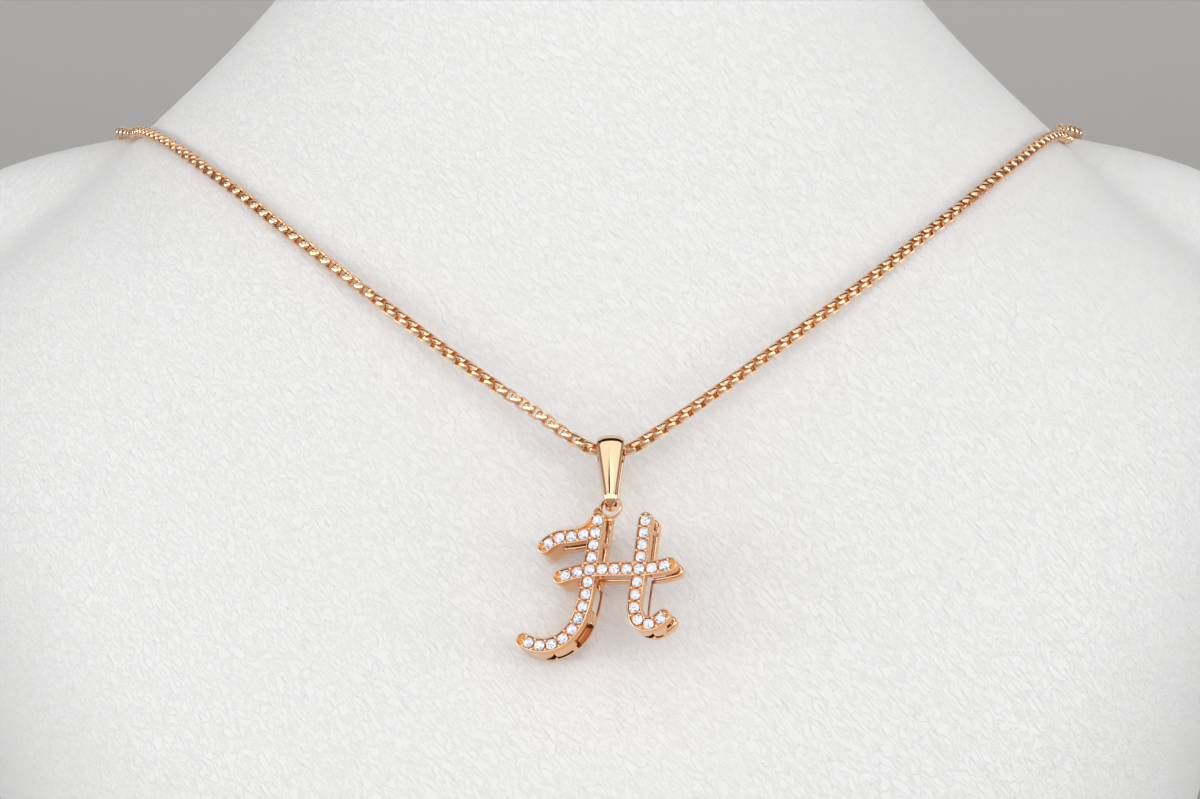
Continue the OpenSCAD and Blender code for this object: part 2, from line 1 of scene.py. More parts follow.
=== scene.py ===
import math
import bpy
import bmesh
import numpy as np
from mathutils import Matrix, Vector


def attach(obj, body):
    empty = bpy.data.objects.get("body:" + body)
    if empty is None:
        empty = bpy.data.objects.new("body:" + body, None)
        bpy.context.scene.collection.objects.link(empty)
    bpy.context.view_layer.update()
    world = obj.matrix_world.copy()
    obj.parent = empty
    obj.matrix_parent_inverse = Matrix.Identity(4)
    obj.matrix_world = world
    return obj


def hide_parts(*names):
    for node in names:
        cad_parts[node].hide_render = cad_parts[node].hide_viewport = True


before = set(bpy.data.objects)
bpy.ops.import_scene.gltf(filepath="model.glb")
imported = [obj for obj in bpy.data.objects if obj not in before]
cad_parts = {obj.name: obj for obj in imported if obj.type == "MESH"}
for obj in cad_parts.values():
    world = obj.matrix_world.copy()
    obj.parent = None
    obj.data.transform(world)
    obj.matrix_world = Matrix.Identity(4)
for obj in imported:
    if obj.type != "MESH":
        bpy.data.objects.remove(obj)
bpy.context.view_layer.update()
mm = 0.001
mergeGap = 0.0005  # mm, points closer than this become one
tinyEdge = 1e-8  # m, shorter edges are dissolved


print("frame loaded,", len(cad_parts), "nodes")

# Camera: level, straight at the chest, with a long lens
view = {
    "place": (0.16, -474.4, 112.4),  # mm
    "lens": 100.0,
    "sensor": 36.0,
    "nearest": 0.01,  # m
}
camera = bpy.data.objects.new("camera", bpy.data.cameras.new("camera"))
camera.data.lens = view["lens"]
camera.data.sensor_width = view["sensor"]
camera.data.clip_start = view["nearest"]
camera.location = [v * mm for v in view["place"]]
camera.rotation_euler = (math.radians(90), 0, 0)
bpy.context.scene.collection.objects.link(camera)
bpy.context.scene.camera = camera


# Quads between rings of points. Each ring is closed, and the rings can close into a loop as well.
def gridFaces(rows, columns, closeRows=False):
    r = np.arange(rows if closeRows else rows - 1)[:, None]
    c = np.arange(columns)[None, :]
    r2, c2 = (r + 1) % rows, (c + 1) % columns
    quads = np.stack([r * columns + c, r * columns + c2, r2 * columns + c2, r2 * columns + c], -1)
    return quads.reshape(-1, 4)


# Rings on top of each other, with a flat cap at both ends.
def cappedFaces(rows, columns):
    caps = [list(range(columns)), [(rows - 1) * columns + k for k in range(columns)]]
    return gridFaces(rows, columns).tolist() + caps


# The faces of one shape again and again, for shapes that follow each other in one list of points.
def repeatFaces(faces, count, size):
    return (faces[None] + (np.arange(count) * size)[:, None, None]).reshape(-1, 4)


# Angles of one full turn in even steps
def fullTurn(steps):
    return np.linspace(0, 2 * math.pi, steps, endpoint=False)


def pointsFrom(x, y, z):
    return np.stack(np.broadcast_arrays(x, y, z), -1)


# Points round an upright axis, at a radius, an angle and a height.
def aroundAxis(radius, angles, z):
    return pointsFrom(radius * np.cos(angles), radius * np.sin(angles), z)


# Raises a sine or cosine to a power and keeps its sign, which brings a circle of them closer to a square.
def squared(values, power):
    return np.sign(values) * np.abs(values) ** power


# Puts points in millimetres and faces into a mesh object, merges its seams and turns its faces outward.
def makePiece(name, points, faces, smooth=True, merge=False, outward=True):
    mesh = bpy.data.meshes.new(name)
    faces = faces if isinstance(faces, list) else faces.tolist()
    mesh.from_pydata((np.reshape(points, (-1, 3)) * mm).tolist(), [], faces)
    if merge or outward:
        work = bmesh.new()
        work.from_mesh(mesh)
        if merge:
            bmesh.ops.remove_doubles(work, verts=work.verts, dist=mergeGap * mm)
            bmesh.ops.dissolve_degenerate(work, edges=work.edges, dist=tinyEdge)
        if outward:
            bmesh.ops.recalc_face_normals(work, faces=work.faces)
        work.to_mesh(mesh)
        work.free()
    mesh.polygons.foreach_set("use_smooth", np.full(len(mesh.polygons), smooth, bool))
    piece = bpy.data.objects.new(name, mesh)
    bpy.context.scene.collection.objects.link(piece)
    return piece


def finishPiece(piece, material, body, nodes=()):
    piece.data.materials.clear()
    piece.data.materials.append(material)
    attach(piece, body)
    if nodes:
        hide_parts(*nodes)


# Writes one number for each face, which a material reads by the attribute's name.
def markFaces(piece, attributeName, values):
    mark = piece.data.attributes.new(attributeName, "FLOAT", "FACE")
    mark.data.foreach_set("value", values.astype(np.float32))


# Keeps edges sharper than an angle crisp and shades the rest smooth.
def crispEdges(piece, degrees):
    piece.data.polygons.foreach_set("use_smooth", np.ones(len(piece.data.polygons), bool))
    piece.data.set_sharp_from_angle(angle=math.radians(degrees))


# Smooth curve through all its points: each span is the cubic whose slopes follow the two neighbours.
def smoothCurve(points, steps):
    p = np.asarray(points, float)
    n = len(p)
    i = np.repeat(np.arange(n - 1), steps)
    t = np.tile(np.arange(steps) / steps, n - 1)[:, None]
    a, b, c, d = p[np.maximum(i - 1, 0)], p[i], p[i + 1], p[np.minimum(i + 2, n - 1)]
    curve = b + 0.5 * t * (c - a + t * (2 * a - 5 * b + 4 * c - d + t * (3 * (b - c) + d - a)))
    return np.vstack([curve, p[-1:]])


def unit(v):
    return v / np.linalg.norm(v, axis=-1, keepdims=True)


# Lengths run from the start of a line to each of its points.
def lengthsOf(line):
    return np.concatenate([[0], np.cumsum(np.linalg.norm(np.diff(line, axis=0), axis=1))])


# Points of a line at lengths run along it
def pointsAt(line, run, s):
    return np.stack([np.interp(s, run, line[:, k]) for k in range(line.shape[1])], -1)


# Shader helpers
def newMaterial(name, color, roughness, metallic=0.0):
    material = bpy.data.materials.new(name)
    material.use_nodes = True
    shader = material.node_tree.nodes["Principled BSDF"]
    shader.inputs["Base Color"].default_value = (*color, 1)
    shader.inputs["Roughness"].default_value = roughness
    shader.inputs["Metallic"].default_value = metallic
    return material, shader


def addNode(tree, kind, link=None, **settings):
    node = tree.nodes.new(kind)
    for key, value in settings.items():
        if key in node.inputs:
            node.inputs[key].default_value = value
        else:
            setattr(node, key, value)
    for socket, source in (link or {}).items():
        tree.links.new(source, node.inputs[socket])
    return node


def mixColors(tree, share, first, second):
    tone = addNode(tree, "ShaderNodeMix", {"Factor": share}, data_type="RGBA")
    tone.inputs[6].default_value = (*first, 1)
    tone.inputs[7].default_value = (*second, 1)
    return tone.outputs[2]


# One step of arithmetic on plain numbers and on values that change over the surface
def mathNode(tree, operation, *values):
    node = addNode(tree, "ShaderNodeMath", operation=operation)
    for socket, value in zip(node.inputs, values):
        if isinstance(value, float):
            socket.default_value = value
        else:
            tree.links.new(value, socket)
    return node.outputs[0]


gold = {
    # painted shade: the deeper orange given to walls, floors and pits that a mark chooses
    "paintedShadeColor": (0.85, 0.39, 0.13),
    "paintedShadeRoughness": 0.12,
    "paintedShadeScatter": 0.15,  # share of plain scatter on the faces with painted shade
    "markDetail": 3.0,
    "markHeight": 0.00005,  # m
    # for each finish its colour, roughness and spread, and the polish marks' scale and bump
    "finishes": {
        "polishedRoseGold": [(0.92, 0.62, 0.40), 0.04, 0.04, 700.0, 0.008],
        "beadRoseGold": [(0.97, 0.78, 0.52), 0.16, 0.05, 1500.0, 0.02],
        "drawnRoseGold": [(0.94, 0.65, 0.43), 0.14, 0.08, 1500.0, 0.04],
    },
}


# Polish marks: one fine noise, as slow waves in the shine and as a hairline bump.
def buildPolishGroup():
    group = bpy.data.node_groups.new("polishMarks", "ShaderNodeTree")
    for name in ["Roughness", "Spread", "Wave Size", "Bump"]:
        group.interface.new_socket(name=name, in_out="INPUT", socket_type="NodeSocketFloat")
    for name, kind in [("Roughness", "NodeSocketFloat"), ("Normal", "NodeSocketVector")]:
        group.interface.new_socket(name=name, in_out="OUTPUT", socket_type=kind)
    inside, out = group.nodes.new("NodeGroupInput"), group.nodes.new("NodeGroupOutput")
    place = addNode(group, "ShaderNodeTexCoord")
    wave = addNode(group, "ShaderNodeTexNoise", {"Vector": place.outputs["Object"],
                   "Scale": inside.outputs["Wave Size"]}, Detail=gold["markDetail"])
    part = mathNode(group, "MULTIPLY", wave.outputs["Fac"], inside.outputs["Spread"])
    total = mathNode(group, "ADD", part, inside.outputs["Roughness"])
    bump = addNode(group, "ShaderNodeBump", {"Height": wave.outputs["Fac"],
                   "Strength": inside.outputs["Bump"]}, Distance=gold["markHeight"])
    group.links.new(total, out.inputs["Roughness"])
    group.links.new(bump.outputs["Normal"], out.inputs["Normal"])
    return group


polishMarks = buildPolishGroup()


# Faces marked with painted shade take a deeper orange colour, more roughness and some plain scatter, in place
# of the shade of walls, floors and pits where light bounces between the gold faces.
def goldMaterial(name):
    color, roughness, spread, waveSize, bump = gold["finishes"][name]
    material, shader = newMaterial(name, color, roughness, 1.0)
    tree = material.node_tree
    paintedShade = addNode(tree, "ShaderNodeAttribute", attribute_name="paintedShadeShare").outputs["Fac"]
    marks = addNode(tree, "ShaderNodeGroup", node_tree=polishMarks)
    for socket, value in [("Spread", spread), ("Wave Size", waveSize), ("Bump", bump)]:
        marks.inputs[socket].default_value = value
    dull = mathNode(tree, "MULTIPLY_ADD", paintedShade, gold["paintedShadeRoughness"], roughness)
    bare = mathNode(tree, "MULTIPLY_ADD", paintedShade, -gold["paintedShadeScatter"], 1.0)
    tree.links.new(dull, marks.inputs["Roughness"])
    tree.links.new(mixColors(tree, paintedShade, color, gold["paintedShadeColor"]), shader.inputs["Base Color"])
    tree.links.new(bare, shader.inputs["Metallic"])
    for socket in ["Roughness", "Normal"]:
        tree.links.new(marks.outputs[socket], shader.inputs[socket])
    return material


polishedGold, beadGold, wireGold = [goldMaterial(name) for name in gold["finishes"]]
print("metals ready")

# Bust: the same surface as the solid, on a finer grid
bustShape = {
    "height": 200.0,
    "width": 208.0,
    "chestReach": 83.0,
    "backReach": 45.5,
    "barDepth": 56.0,
    "barHeight": 62.0,
    "barBack": 14.0,
    "barMiddle": 0.615,
    "axisBack": 17.4,
    "edge": 2.5,
    "planPower": 2.15,  # of the neck and chest's plan, where 2 is an ellipse
    "barPower": 3.6,  # of the shoulder bar's outline from the front
    "blendPower": 9,  # of the mean that joins trunk and bar
    "columns": 288,
    "rows": 150,
    "edgeSteps": 6,
    "caps": [0.75, 0.5, 0.25, 0.02],  # the end caps shrink in these rings to the middle
    "sections": [  # height, half width, chest reach, back reach as shares
        [0.00, 0.711, 0.940, 0.835], [0.12, 0.755, 0.988, 0.880], [0.24, 0.812, 1.000, 0.923],
        [0.33, 0.861, 0.964, 0.956], [0.42, 0.909, 0.894, 0.989], [0.50, 0.937, 0.814, 1.000],
        [0.58, 0.928, 0.735, 0.989], [0.65, 0.861, 0.666, 0.945], [0.71, 0.731, 0.610, 0.868],
        [0.76, 0.631, 0.567, 0.791], [0.81, 0.531, 0.532, 0.736], [0.86, 0.445, 0.504, 0.703],
        [0.92, 0.375, 0.472, 0.681], [1.00, 0.337, 0.446, 0.670]],
}


# A column of the section table at any height, on cubics whose slopes follow the neighbours.
def sectionAt(column, z):
    table = np.array(bustShape["sections"])
    x = table[:, 0] * bustShape["height"]
    y = table[:, column]
    slope = np.empty(len(x))
    slope[1:-1] = (y[2:] - y[:-2]) / (x[2:] - x[:-2])
    slope[0], slope[-1] = (y[1] - y[0]) / (x[1] - x[0]), (y[-1] - y[-2]) / (x[-1] - x[-2])
    z = np.clip(z, x[0], x[-1])
    i = np.clip(np.searchsorted(x, z, side="right") - 1, 0, len(x) - 2)
    w = x[i + 1] - x[i]
    t = (z - x[i]) / w
    return ((2 * t**3 - 3 * t**2 + 1) * y[i] + (t**3 - 2 * t**2 + t) * w * slope[i]
            + (3 * t**2 - 2 * t**3) * y[i + 1] + (t**3 - t**2) * w * slope[i + 1])


# Reach from the neck axis at a bearing from the front: a rounded plan for neck and chest, an ellipse
# behind the axis for the shoulder bar, and a high power mean that blends the two.
def bustReach(bearing, z):
    b = bustShape
    bearing, z = np.broadcast_arrays(np.asarray(bearing, float), np.asarray(z, float))
    s, c = np.sin(bearing), np.cos(bearing)
    side = b["width"] / 2 * sectionAt(1, z)
    depth = np.where(c > 0, b["chestReach"] * sectionAt(2, z), b["backReach"] * sectionAt(3, z))
    plan, outline, blend = b["planPower"], b["barPower"], b["blendPower"]
    trunk = ((np.abs(s) / side) ** plan + (np.abs(c) / depth) ** plan) ** (-1 / plan)
    up = np.abs(z - b["barMiddle"] * b["height"]) / (b["barHeight"] / 2)
    q = np.clip(1 - up**outline, 0, None) ** (1 / outline)
    least = 1e-3  # mm, keeps the bar's ellipse open at its top and bottom
    wide, deep = b["width"] / 2 * q + least, b["barDepth"] / 2 * q + least
    qa = (s / wide) ** 2 + (c / deep) ** 2
    qb = 2 * c * b["barBack"] / deep**2
    inside = qb**2 - 4 * qa * ((b["barBack"] / deep) ** 2 - 1)
    bar = np.where(inside > 0, np.clip((-qb + np.sqrt(np.abs(inside))) / (2 * qa), 0, None), 0)
    return (trunk**blend + bar**blend) ** (1 / blend)


# Points at a reach from the neck's axis and a bearing from the front
def aroundNeck(reach, bearing, z):
    return pointsFrom(reach * np.sin(bearing), bustShape["axisBack"] - reach * np.cos(bearing), z)


def bustPoint(bearing, z):
    return aroundNeck(bustReach(bearing, z), bearing, z)


# Direction away from the skin, across two short steps on it
def bustNormal(bearing, z):
    step = 0.1  # degrees round the neck, mm up
    turned = math.radians(step)
    across = bustPoint(bearing + turned, z) - bustPoint(bearing - turned, z)
    along = bustPoint(bearing, z + step) - bustPoint(bearing, z - step)
    return unit(np.cross(across, along))


# Rings at each height from foot to neck top; the edges turn in along a quarter circle and end in flat caps.
def buildBust():
    b = bustShape
    turn = np.linspace(0, math.pi / 2, b["edgeSteps"] + 1)[1:]
    low = [(b["edge"] * (1 - math.sin(a)), b["edge"] * (1 - math.cos(a))) for a in turn[::-1]]
    body = [(z, 0.0) for z in np.linspace(b["edge"], b["height"] - b["edge"], b["rows"])]
    high = [(b["height"] - z, inset) for z, inset in low[::-1]]
    levels = np.array(low + body + high)
    caps = np.array(b["caps"])
    z, inset = np.pad(levels, ((len(caps), len(caps)), (0, 0)), "edge").T
    share = np.concatenate([caps[::-1], np.ones(len(levels)), caps])
    bearing = fullTurn(b["columns"])
    reach = (bustReach(bearing[None, :], z[:, None]) - inset[:, None]) * share[:, None]
    points = aroundNeck(reach, bearing, z[:, None])
    return makePiece("bustSkin", points, cappedFaces(len(z), b["columns"]))


# Leatherette: fine slanting creases, the thin lines where a stretched noise passes its middle value, with
# softer hollows between them.
leather = {
    "color": (0.77, 0.768, 0.766),
    "roughness": 0.5,
    "shine": 0.3,
    "creaseTurn": 50.0,  # degrees below the level line, seen from the front
    "creaseSize": (1.35, 0.9, 0.44),  # mm
    "creaseWidth": 0.055,  # in heights of the noise
    "creaseShade": 0.96,  # painted shade in the creases, as a share of the colour beside it
    "creaseDepth": 0.000035,  # m
    "hollowDepth": 0.00003,  # m
    "noise": {"Scale": 0.8, "Detail": 2.0, "Roughness": 0.5, "Distortion": 0.6},
}


def leatherMaterial():
    look = leather
    material, shader = newMaterial("whiteLeatherette", look["color"], look["roughness"])
    tree = material.node_tree
    place = addNode(tree, "ShaderNodeTexCoord")
    slant = addNode(tree, "ShaderNodeMapping", {"Vector": place.outputs["Object"]}, vector_type="TEXTURE",
                    Rotation=(0.0, math.radians(look["creaseTurn"]), 0.0),
                    Scale=tuple(v * mm for v in look["creaseSize"]))
    wave = addNode(tree, "ShaderNodeTexNoise", {"Vector": slant.outputs["Vector"]}, **look["noise"])
    away = mathNode(tree, "ABSOLUTE", mathNode(tree, "SUBTRACT", wave.outputs["Fac"], 0.5))
    crease = addNode(tree, "ShaderNodeMapRange", {"Value": away}, interpolation_type="SMOOTHSTEP")
    crease.inputs["From Max"].default_value = look["creaseWidth"]
    first = addNode(tree, "ShaderNodeBump", {"Height": wave.outputs["Fac"]},
                    Strength=1.0, Distance=look["hollowDepth"])
    second = addNode(tree, "ShaderNodeBump", {"Height": crease.outputs["Result"],
                     "Normal": first.outputs["Normal"]}, Strength=1.0, Distance=look["creaseDepth"])
    # Painted shade: the creases are drawn slightly darker than the leather beside them
    shadedCrease = [v * look["creaseShade"] for v in look["color"]]
    tone = mixColors(tree, crease.outputs["Result"], shadedCrease, look["color"])
    tree.links.new(tone, shader.inputs["Base Color"])
    tree.links.new(second.outputs["Normal"], shader.inputs["Normal"])
    shader.inputs["Specular IOR Level"].default_value = look["shine"]
    return material


finishPiece(buildBust(), leatherMaterial(), "bust", ["bust"])
print("bust dressed")

# Chain: box links along the same route as the solid tube
chainLook = {
    "route": [  # bearing from the front, height, distance from the bust
        [169, 129.5, 1.3], [160, 130.0, 0.9], [149, 131.2, 0.9], [138, 133.5, 0.9],
        [127, 137.4, 0.9], [119, 142.0, 0.9], [113, 146.8, 0.9], [109, 149.7, 1.1],
        [104, 151.4, 1.0], [99, 151.8, 1.0], [94.5, 151.7, 1.1], [90, 151.0, 1.1],
        [85, 149.9, 1.0], [80, 149.3, 0.9], [75, 149.4, 0.9], [67, 147.6, 0.9], [57.8, 143.6, 0.9],
        [50.9, 139.6, 0.9], [42.6, 134.2, 0.9], [35.3, 128.8, 1.3], [28.5, 123.7, 1.8],
        [22, 118.8, 2.4], [15.9, 114.1, 3.0], [10, 109.5, 3.6], [6.3, 106.6, 4.1],
        [3.4, 104.45, 4.6], [1.3, 104.2, 4.7], [-0.6, 104.4, 4.6], [-3.2, 106.1, 4.2],
        [-6.8, 109.1, 3.7], [-12.6, 113.5, 3.1], [-18.7, 118.1, 2.4], [-25.1, 123.0, 1.9],
        [-31.8, 128.0, 1.4], [-39, 133.2, 1.0], [-46.8, 138.5, 0.9], [-52.8, 142.1, 0.9],
        [-59.9, 145.6, 0.9], [-67, 148.2, 0.9], [-75, 149.9, 0.9], [-82, 150.3, 0.9],
        [-88, 150.5, 1.0], [-94, 151.2, 1.0], [-99, 151.8, 1.0], [-104, 151.4, 1.0],
        [-109, 149.7, 1.1], [-113, 146.8, 0.9], [-119, 142.0, 0.9], [-127, 137.4, 0.9],
        [-138, 133.5, 0.9], [-149, 131.2, 0.9], [-160, 130.0, 0.9], [-169, 129.5, 1.3]],
    "claspLength": 8.0,
    "claspDiameter": 2.8,
    "claspGap": 0.1,
    "claspRise": 0.5,  # of the clasp's underside off the bust
    "claspDrop": 0.2,  # of the chain's ends from their first point to the clasp
    "pitch": 1.06,
    "width": 1.56,
    "thickness": 0.28,
    "band": 0.96,
    "corner": 0.26,
    "cornerAngles": [0, 45, 90],
    "crispAngle": 48,
    # the band's section, crowned outside and flat inside, in halves of its thickness and width
    "bandRise": [1.0, 1.0, -0.2, -1.0, -1.0, -0.2],
    "bandSpan": [-0.48, 0.48, 1.0, 0.90, -0.90, -1.0],
    "innerPaintedShade": [0.0, 0.35, 1.0, 1.0, 1.0, 0.35],  # painted shade on each side of the section, deepest inside where the links shade each other
    "directionReach": 0.4,  # mm to both sides of a link's middle
    "sway": [[0.06, 0.61], [0.04, 2.1]],  # small extra turns in radians, and how fast they change
    # bearing along the neck and the angle by which the links are turned there
    "twist": [[-180, 45], [-110, 60], [-75, 72], [-68, 63], [-63, 56], [-58, 54], [-53, 32], [-48.6, 9],
              [-35, 10], [-31, 14], [-28, 30], [-25.8, 50], [-21, 58], [-12.9, 60], [-11.5, 45],
              [-10.3, 22], [-8.2, 16], [-5, 17], [-3.3, 25], [-2, 50], [-0.5, 64], [4.7, 62], [13, 60],
              [21.7, 58], [30.7, 56], [39.6, 54], [44, 56], [48.7, 69], [53, 80], [58, 96], [67, 100],
              [75, 100], [110, 68], [180, 45]],
}


# The route's points lifted off the bust along its normal, then joined by a smooth curve.
def chainLine():
    look = chainLook
    endBearing = 180 - math.degrees(math.atan2(look["claspLength"] / 2 + look["claspGap"],
                                               bustShape["backReach"]))
    z = look["route"][0][1] - look["claspDrop"]
    rise = look["claspDiameter"] / 2 + look["claspRise"]
    route = np.array([[endBearing, z, rise]] + look["route"] + [[-endBearing, z, rise]])
    route = smoothCurve(route, 12)
    bearing = np.radians(route[:, 0])
    return bustPoint(bearing, route[:, 1]) + route[:, 2:] * bustNormal(bearing, route[:, 1])


# One link: a flat band carried round a box-shaped loop. Every link takes that loop at its place on
# the chain, turned a quarter further than the last one, with a slow twist along the chain.
def buildChain(line):
    look = chainLook
    run = lengthsOf(line)
    count = int(round(run[-1] / look["pitch"]))
    pitch = run[-1] / count
    at = (np.arange(count) + 0.5) * pitch
    reach = look["directionReach"]
    centre = pointsAt(line, run, at)
    along = unit(pointsAt(line, run, at + reach) - pointsAt(line, run, at - reach))
    bearing = np.arctan2(centre[:, 0], bustShape["axisBack"] - centre[:, 1])
    lift = bustNormal(bearing, centre[:, 2])
    side = unit(np.cross(along, lift))
    lift = np.cross(side, along)
    table = np.array(look["twist"], float)
    twist = np.radians(np.interp(np.degrees(bearing), table[:, 0], table[:, 1]))
    for size, rate in look["sway"]:
        twist = twist + size * np.sin(at * rate)
    turn = twist + (np.arange(count) % 2) * math.pi / 2
    across = np.cos(turn)[:, None] * side + np.sin(turn)[:, None] * lift
    normal = np.cross(along, across)
    # Box-shaped loop of the band's middle: straight sides, and three points round each corner
    a = (pitch + look["thickness"]) / 2 - look["corner"]
    b = (look["width"] - look["thickness"]) / 2 - look["corner"]
    corners = np.array([[a, b], [-a, b], [-a, -b], [a, -b]])
    angle = np.radians(np.array(look["cornerAngles"]) + 90 * np.arange(4)[:, None])
    loop = corners[:, None, :] + look["corner"] * np.stack([np.cos(angle), np.sin(angle)], -1)
    loop = loop.reshape(-1, 2)
    tangent = unit(np.roll(loop, -1, 0) - np.roll(loop, 1, 0))
    outward = np.stack([tangent[:, 1], -tangent[:, 0]], -1)
    rise = look["thickness"] / 2 * np.array(look["bandRise"])
    span = look["band"] / 2 * np.array(look["bandSpan"])
    u = loop[:, None, 0] + rise * outward[:, None, 0]
    v = loop[:, None, 1] + rise * outward[:, None, 1]
    local = pointsFrom(u, v, span).reshape(-1, 3)
    points = (centre[:, None, :] + local[None, :, 0:1] * along[:, None, :]
              + local[None, :, 1:2] * across[:, None, :] + local[None, :, 2:3] * normal[:, None, :])
    faces = repeatFaces(gridFaces(len(loop), len(span), closeRows=True), count, len(local))
    print("chain has", count, "links over", round(run[-1], 1), "mm")
    piece = makePiece("chainLinks", points, faces)
    crispEdges(piece, look["crispAngle"])
    # Painted shade on the band's inside and edges, where the neighbouring links shade them
    markFaces(piece, "paintedShadeShare", np.tile(look["innerPaintedShade"], count * len(loop)))
    return piece


lineOfChain = chainLine()
finishPiece(buildChain(lineOfChain), wireGold, "bust", ["chain"])

# Clasp: half lengths and radii as shares, from each end to the barrel, and the seam of its two halves
claspLook = {
    "end": [[1.0, 0.02], [1.0, 0.34], [0.985, 0.42], [0.95, 0.46], [0.90, 0.52], [0.80, 0.78],
            [0.72, 0.95], [0.66, 1.0]],
    "seam": [[-0.10, 1.0], [-0.07, 0.97], [-0.06, 0.90], [-0.03, 0.90], [-0.02, 0.97], [0.01, 1.0]],
    "ribs": 32,
    "ribHeight": 0.012,  # share of the radius
    "columns": 64,
    "crispAngle": 35,
}


# Barrel clasp: a profile of radius against length carried round the axis between the chain's ends.
def buildClasp():
    look = claspLook
    half, r = chainLook["claspLength"] / 2, chainLook["claspDiameter"] / 2
    profile = np.array([[-x, share] for x, share in look["end"]] + look["seam"] + look["end"][::-1])
    t = fullTurn(look["columns"])
    ribbed = (profile[:, 1] == 1) & (profile[:, 0] > 0)  # the full width of one half
    grip = 1 + look["ribHeight"] * np.cos(look["ribs"] * t) * ribbed[:, None]
    radius = profile[:, 1:2] * r * grip
    middle = (lineOfChain[0] + lineOfChain[-1]) / 2
    points = middle + pointsFrom(profile[:, 0:1] * half, radius * np.cos(t), radius * np.sin(t))
    piece = makePiece("claspBarrel", points, cappedFaces(len(profile), len(t)))
    crispEdges(piece, look["crispAngle"])
    return piece


finishPiece(buildClasp(), polishedGold, "bust", ["clasp"])
print("clasp turned")

# Letter: strokes as shares of the letter's size, all lengths in millimetres
letterShape = {
    "width": 20.9,
    "height": 17.6,
    "strokeWidth": 1.85,
    "depth": 3.8,
    "plate": 1.2,
    "frame": 1.3,
    "rim": 0.17,
    "rimHeight": 0.2,
    "crispAngle": 32,
    "turn": -19.0,
    "restGap": 0.15,
    "ringDiameter": 2.95,
    "ringWall": 0.33,
    "ringLength": 0.9,
    "ringDepth": 1.6,
    "ringBearing": 56.0,
    "solder": 0.15,
    "stem": [[0.057, 0.419], [0.042, 0.305], [0, 0], [-0.037, -0.254], [-0.100, -0.444],
             [-0.215, -0.565], [-0.346, -0.581], [-0.456, -0.523]],
    "bar": [[-0.200, -0.031], [-0.121, -0.011], [0, 0], [0.173, -0.016], [0.340, -0.038],
            [0.451, -0.041], [0.549, -0.030]],
    "right": [[0.047, 0.406], [0.026, 0.229], [0, 0], [-0.029, -0.229], [-0.033, -0.340],
              [0.003, -0.440], [0.071, -0.463], [0.125, -0.440], [0.160, -0.410]],
    "flourish": [[0, 0], [-0.084, -0.003], [-0.173, -0.008], [-0.250, -0.007], [-0.310, -0.030],
                 [-0.353, -0.066]],
}
bailShape = {
    "length": 7.05,
    "topWidth": 3.45,
    "lowWidth": 1.6,
    "wall": 0.3,
    "crown": 0.62,
    "chainGap": 0.36,
    "wireGap": 0.15,
    "turn": -2.0,
    "chainRadius": 0.7,
    "backShare": 1.04,
    "crestShare": 0.84,
    "keel": 0.2,
    "bow": 0.18,
    "turnSteps": 40,
    "sideSteps": 20,
    "keelSpan": 50,  # degrees to both sides of the lowest point
    "backSpan": 45,
    "crestSpan": 50,
    "crestPower": 0.7,
    "rimWidth": [1.0, 0.995, 0.97, 0.93],  # half widths of the rim, from outside to inside
    "rimRise": [0.55, 0.22, 0.06, 0.0],  # and their heights as shares of the wall
    "innerDome": 0.78,
    "crispAngle": 40,
}
stoneShape = {
    "diameter": 1.35,
    "gap": 0.2,
    "table": 0.56,
    "tableMiddle": 0.5,  # of the table's radius
    "star": 0.78,
    "starHeight": 0.52,
    "deep": 0.45,  # where the lower girdle facets end, of the radius
    "deepShare": 0.62,  # and of the pavilion
    "crown": 0.21,
    "girdle": 0.04,
    "pavilion": 0.56,
    "bead": 0.40,
}
strokeWidth = letterShape["strokeWidth"]
halfStroke = strokeWidth / 2
faceZ = letterShape["ringDepth"]
backZ = faceZ - letterShape["depth"]
ringRadius = letterShape["ringDiameter"] / 2
wireRadius = ringRadius - letterShape["ringWall"] / 2
strokeSteps = 20  # from one point of a stroke to the next
capSteps = 16  # round a stroke's end
ballRows = 8
headingReach = 0.05  # mm to both sides of a point


# A stroke keeps its points, the length run to each, and a way to read point, heading and side at a length.
class Stroke:
    def __init__(self, shares, start):
        self.line = smoothCurve(np.array(start) + np.array(shares) * strokeSize, strokeSteps)
        self.run = lengthsOf(self.line)
        self.length = self.run[-1]

    def at(self, s):
        return pointsAt(self.line, self.run, s)

    def heading(self, s):
        low, high = np.clip([s - headingReach, s + headingReach], 0, self.length)
        return unit(self.at(high) - self.at(low))

    def beside(self, s, d):
        h = self.heading(s)
        return self.at(s) + np.asarray(d)[..., None] * np.stack([-h[..., 1], h[..., 0]], -1)

    def lengthAt(self, index):
        return self.run[index * strokeSteps]


bearing = math.radians(letterShape["ringBearing"])
toRing = halfStroke + ringRadius - letterShape["solder"]
stemTop = -toRing * np.array([math.cos(bearing), math.sin(bearing)])
strokeSize = np.array([letterShape["width"], letterShape["height"]]) - strokeWidth
leftCrossing = stemTop - np.array(letterShape["stem"][0]) * strokeSize
stem = Stroke(letterShape["stem"], leftCrossing)
bar = Stroke(letterShape["bar"], leftCrossing)
right = Stroke(letterShape["right"], bar.line[4 * strokeSteps])
pitchLeast = stoneShape["diameter"] + stoneShape["gap"]


# A row of stones runs from one length to another, evenly spaced, as many as fit.
def rowOf(stroke, start, end):
    count = int(math.floor(abs(end - start) / pitchLeast))
    return {"stroke": stroke, "start": start, "end": end, "count": count}


# Lengths halfway between the row's neighbouring stones
def betweenStones(row):
    step = (row["end"] - row["start"]) / row["count"]
    return row["start"] + step * (np.arange(row["count"]) + 0.5)


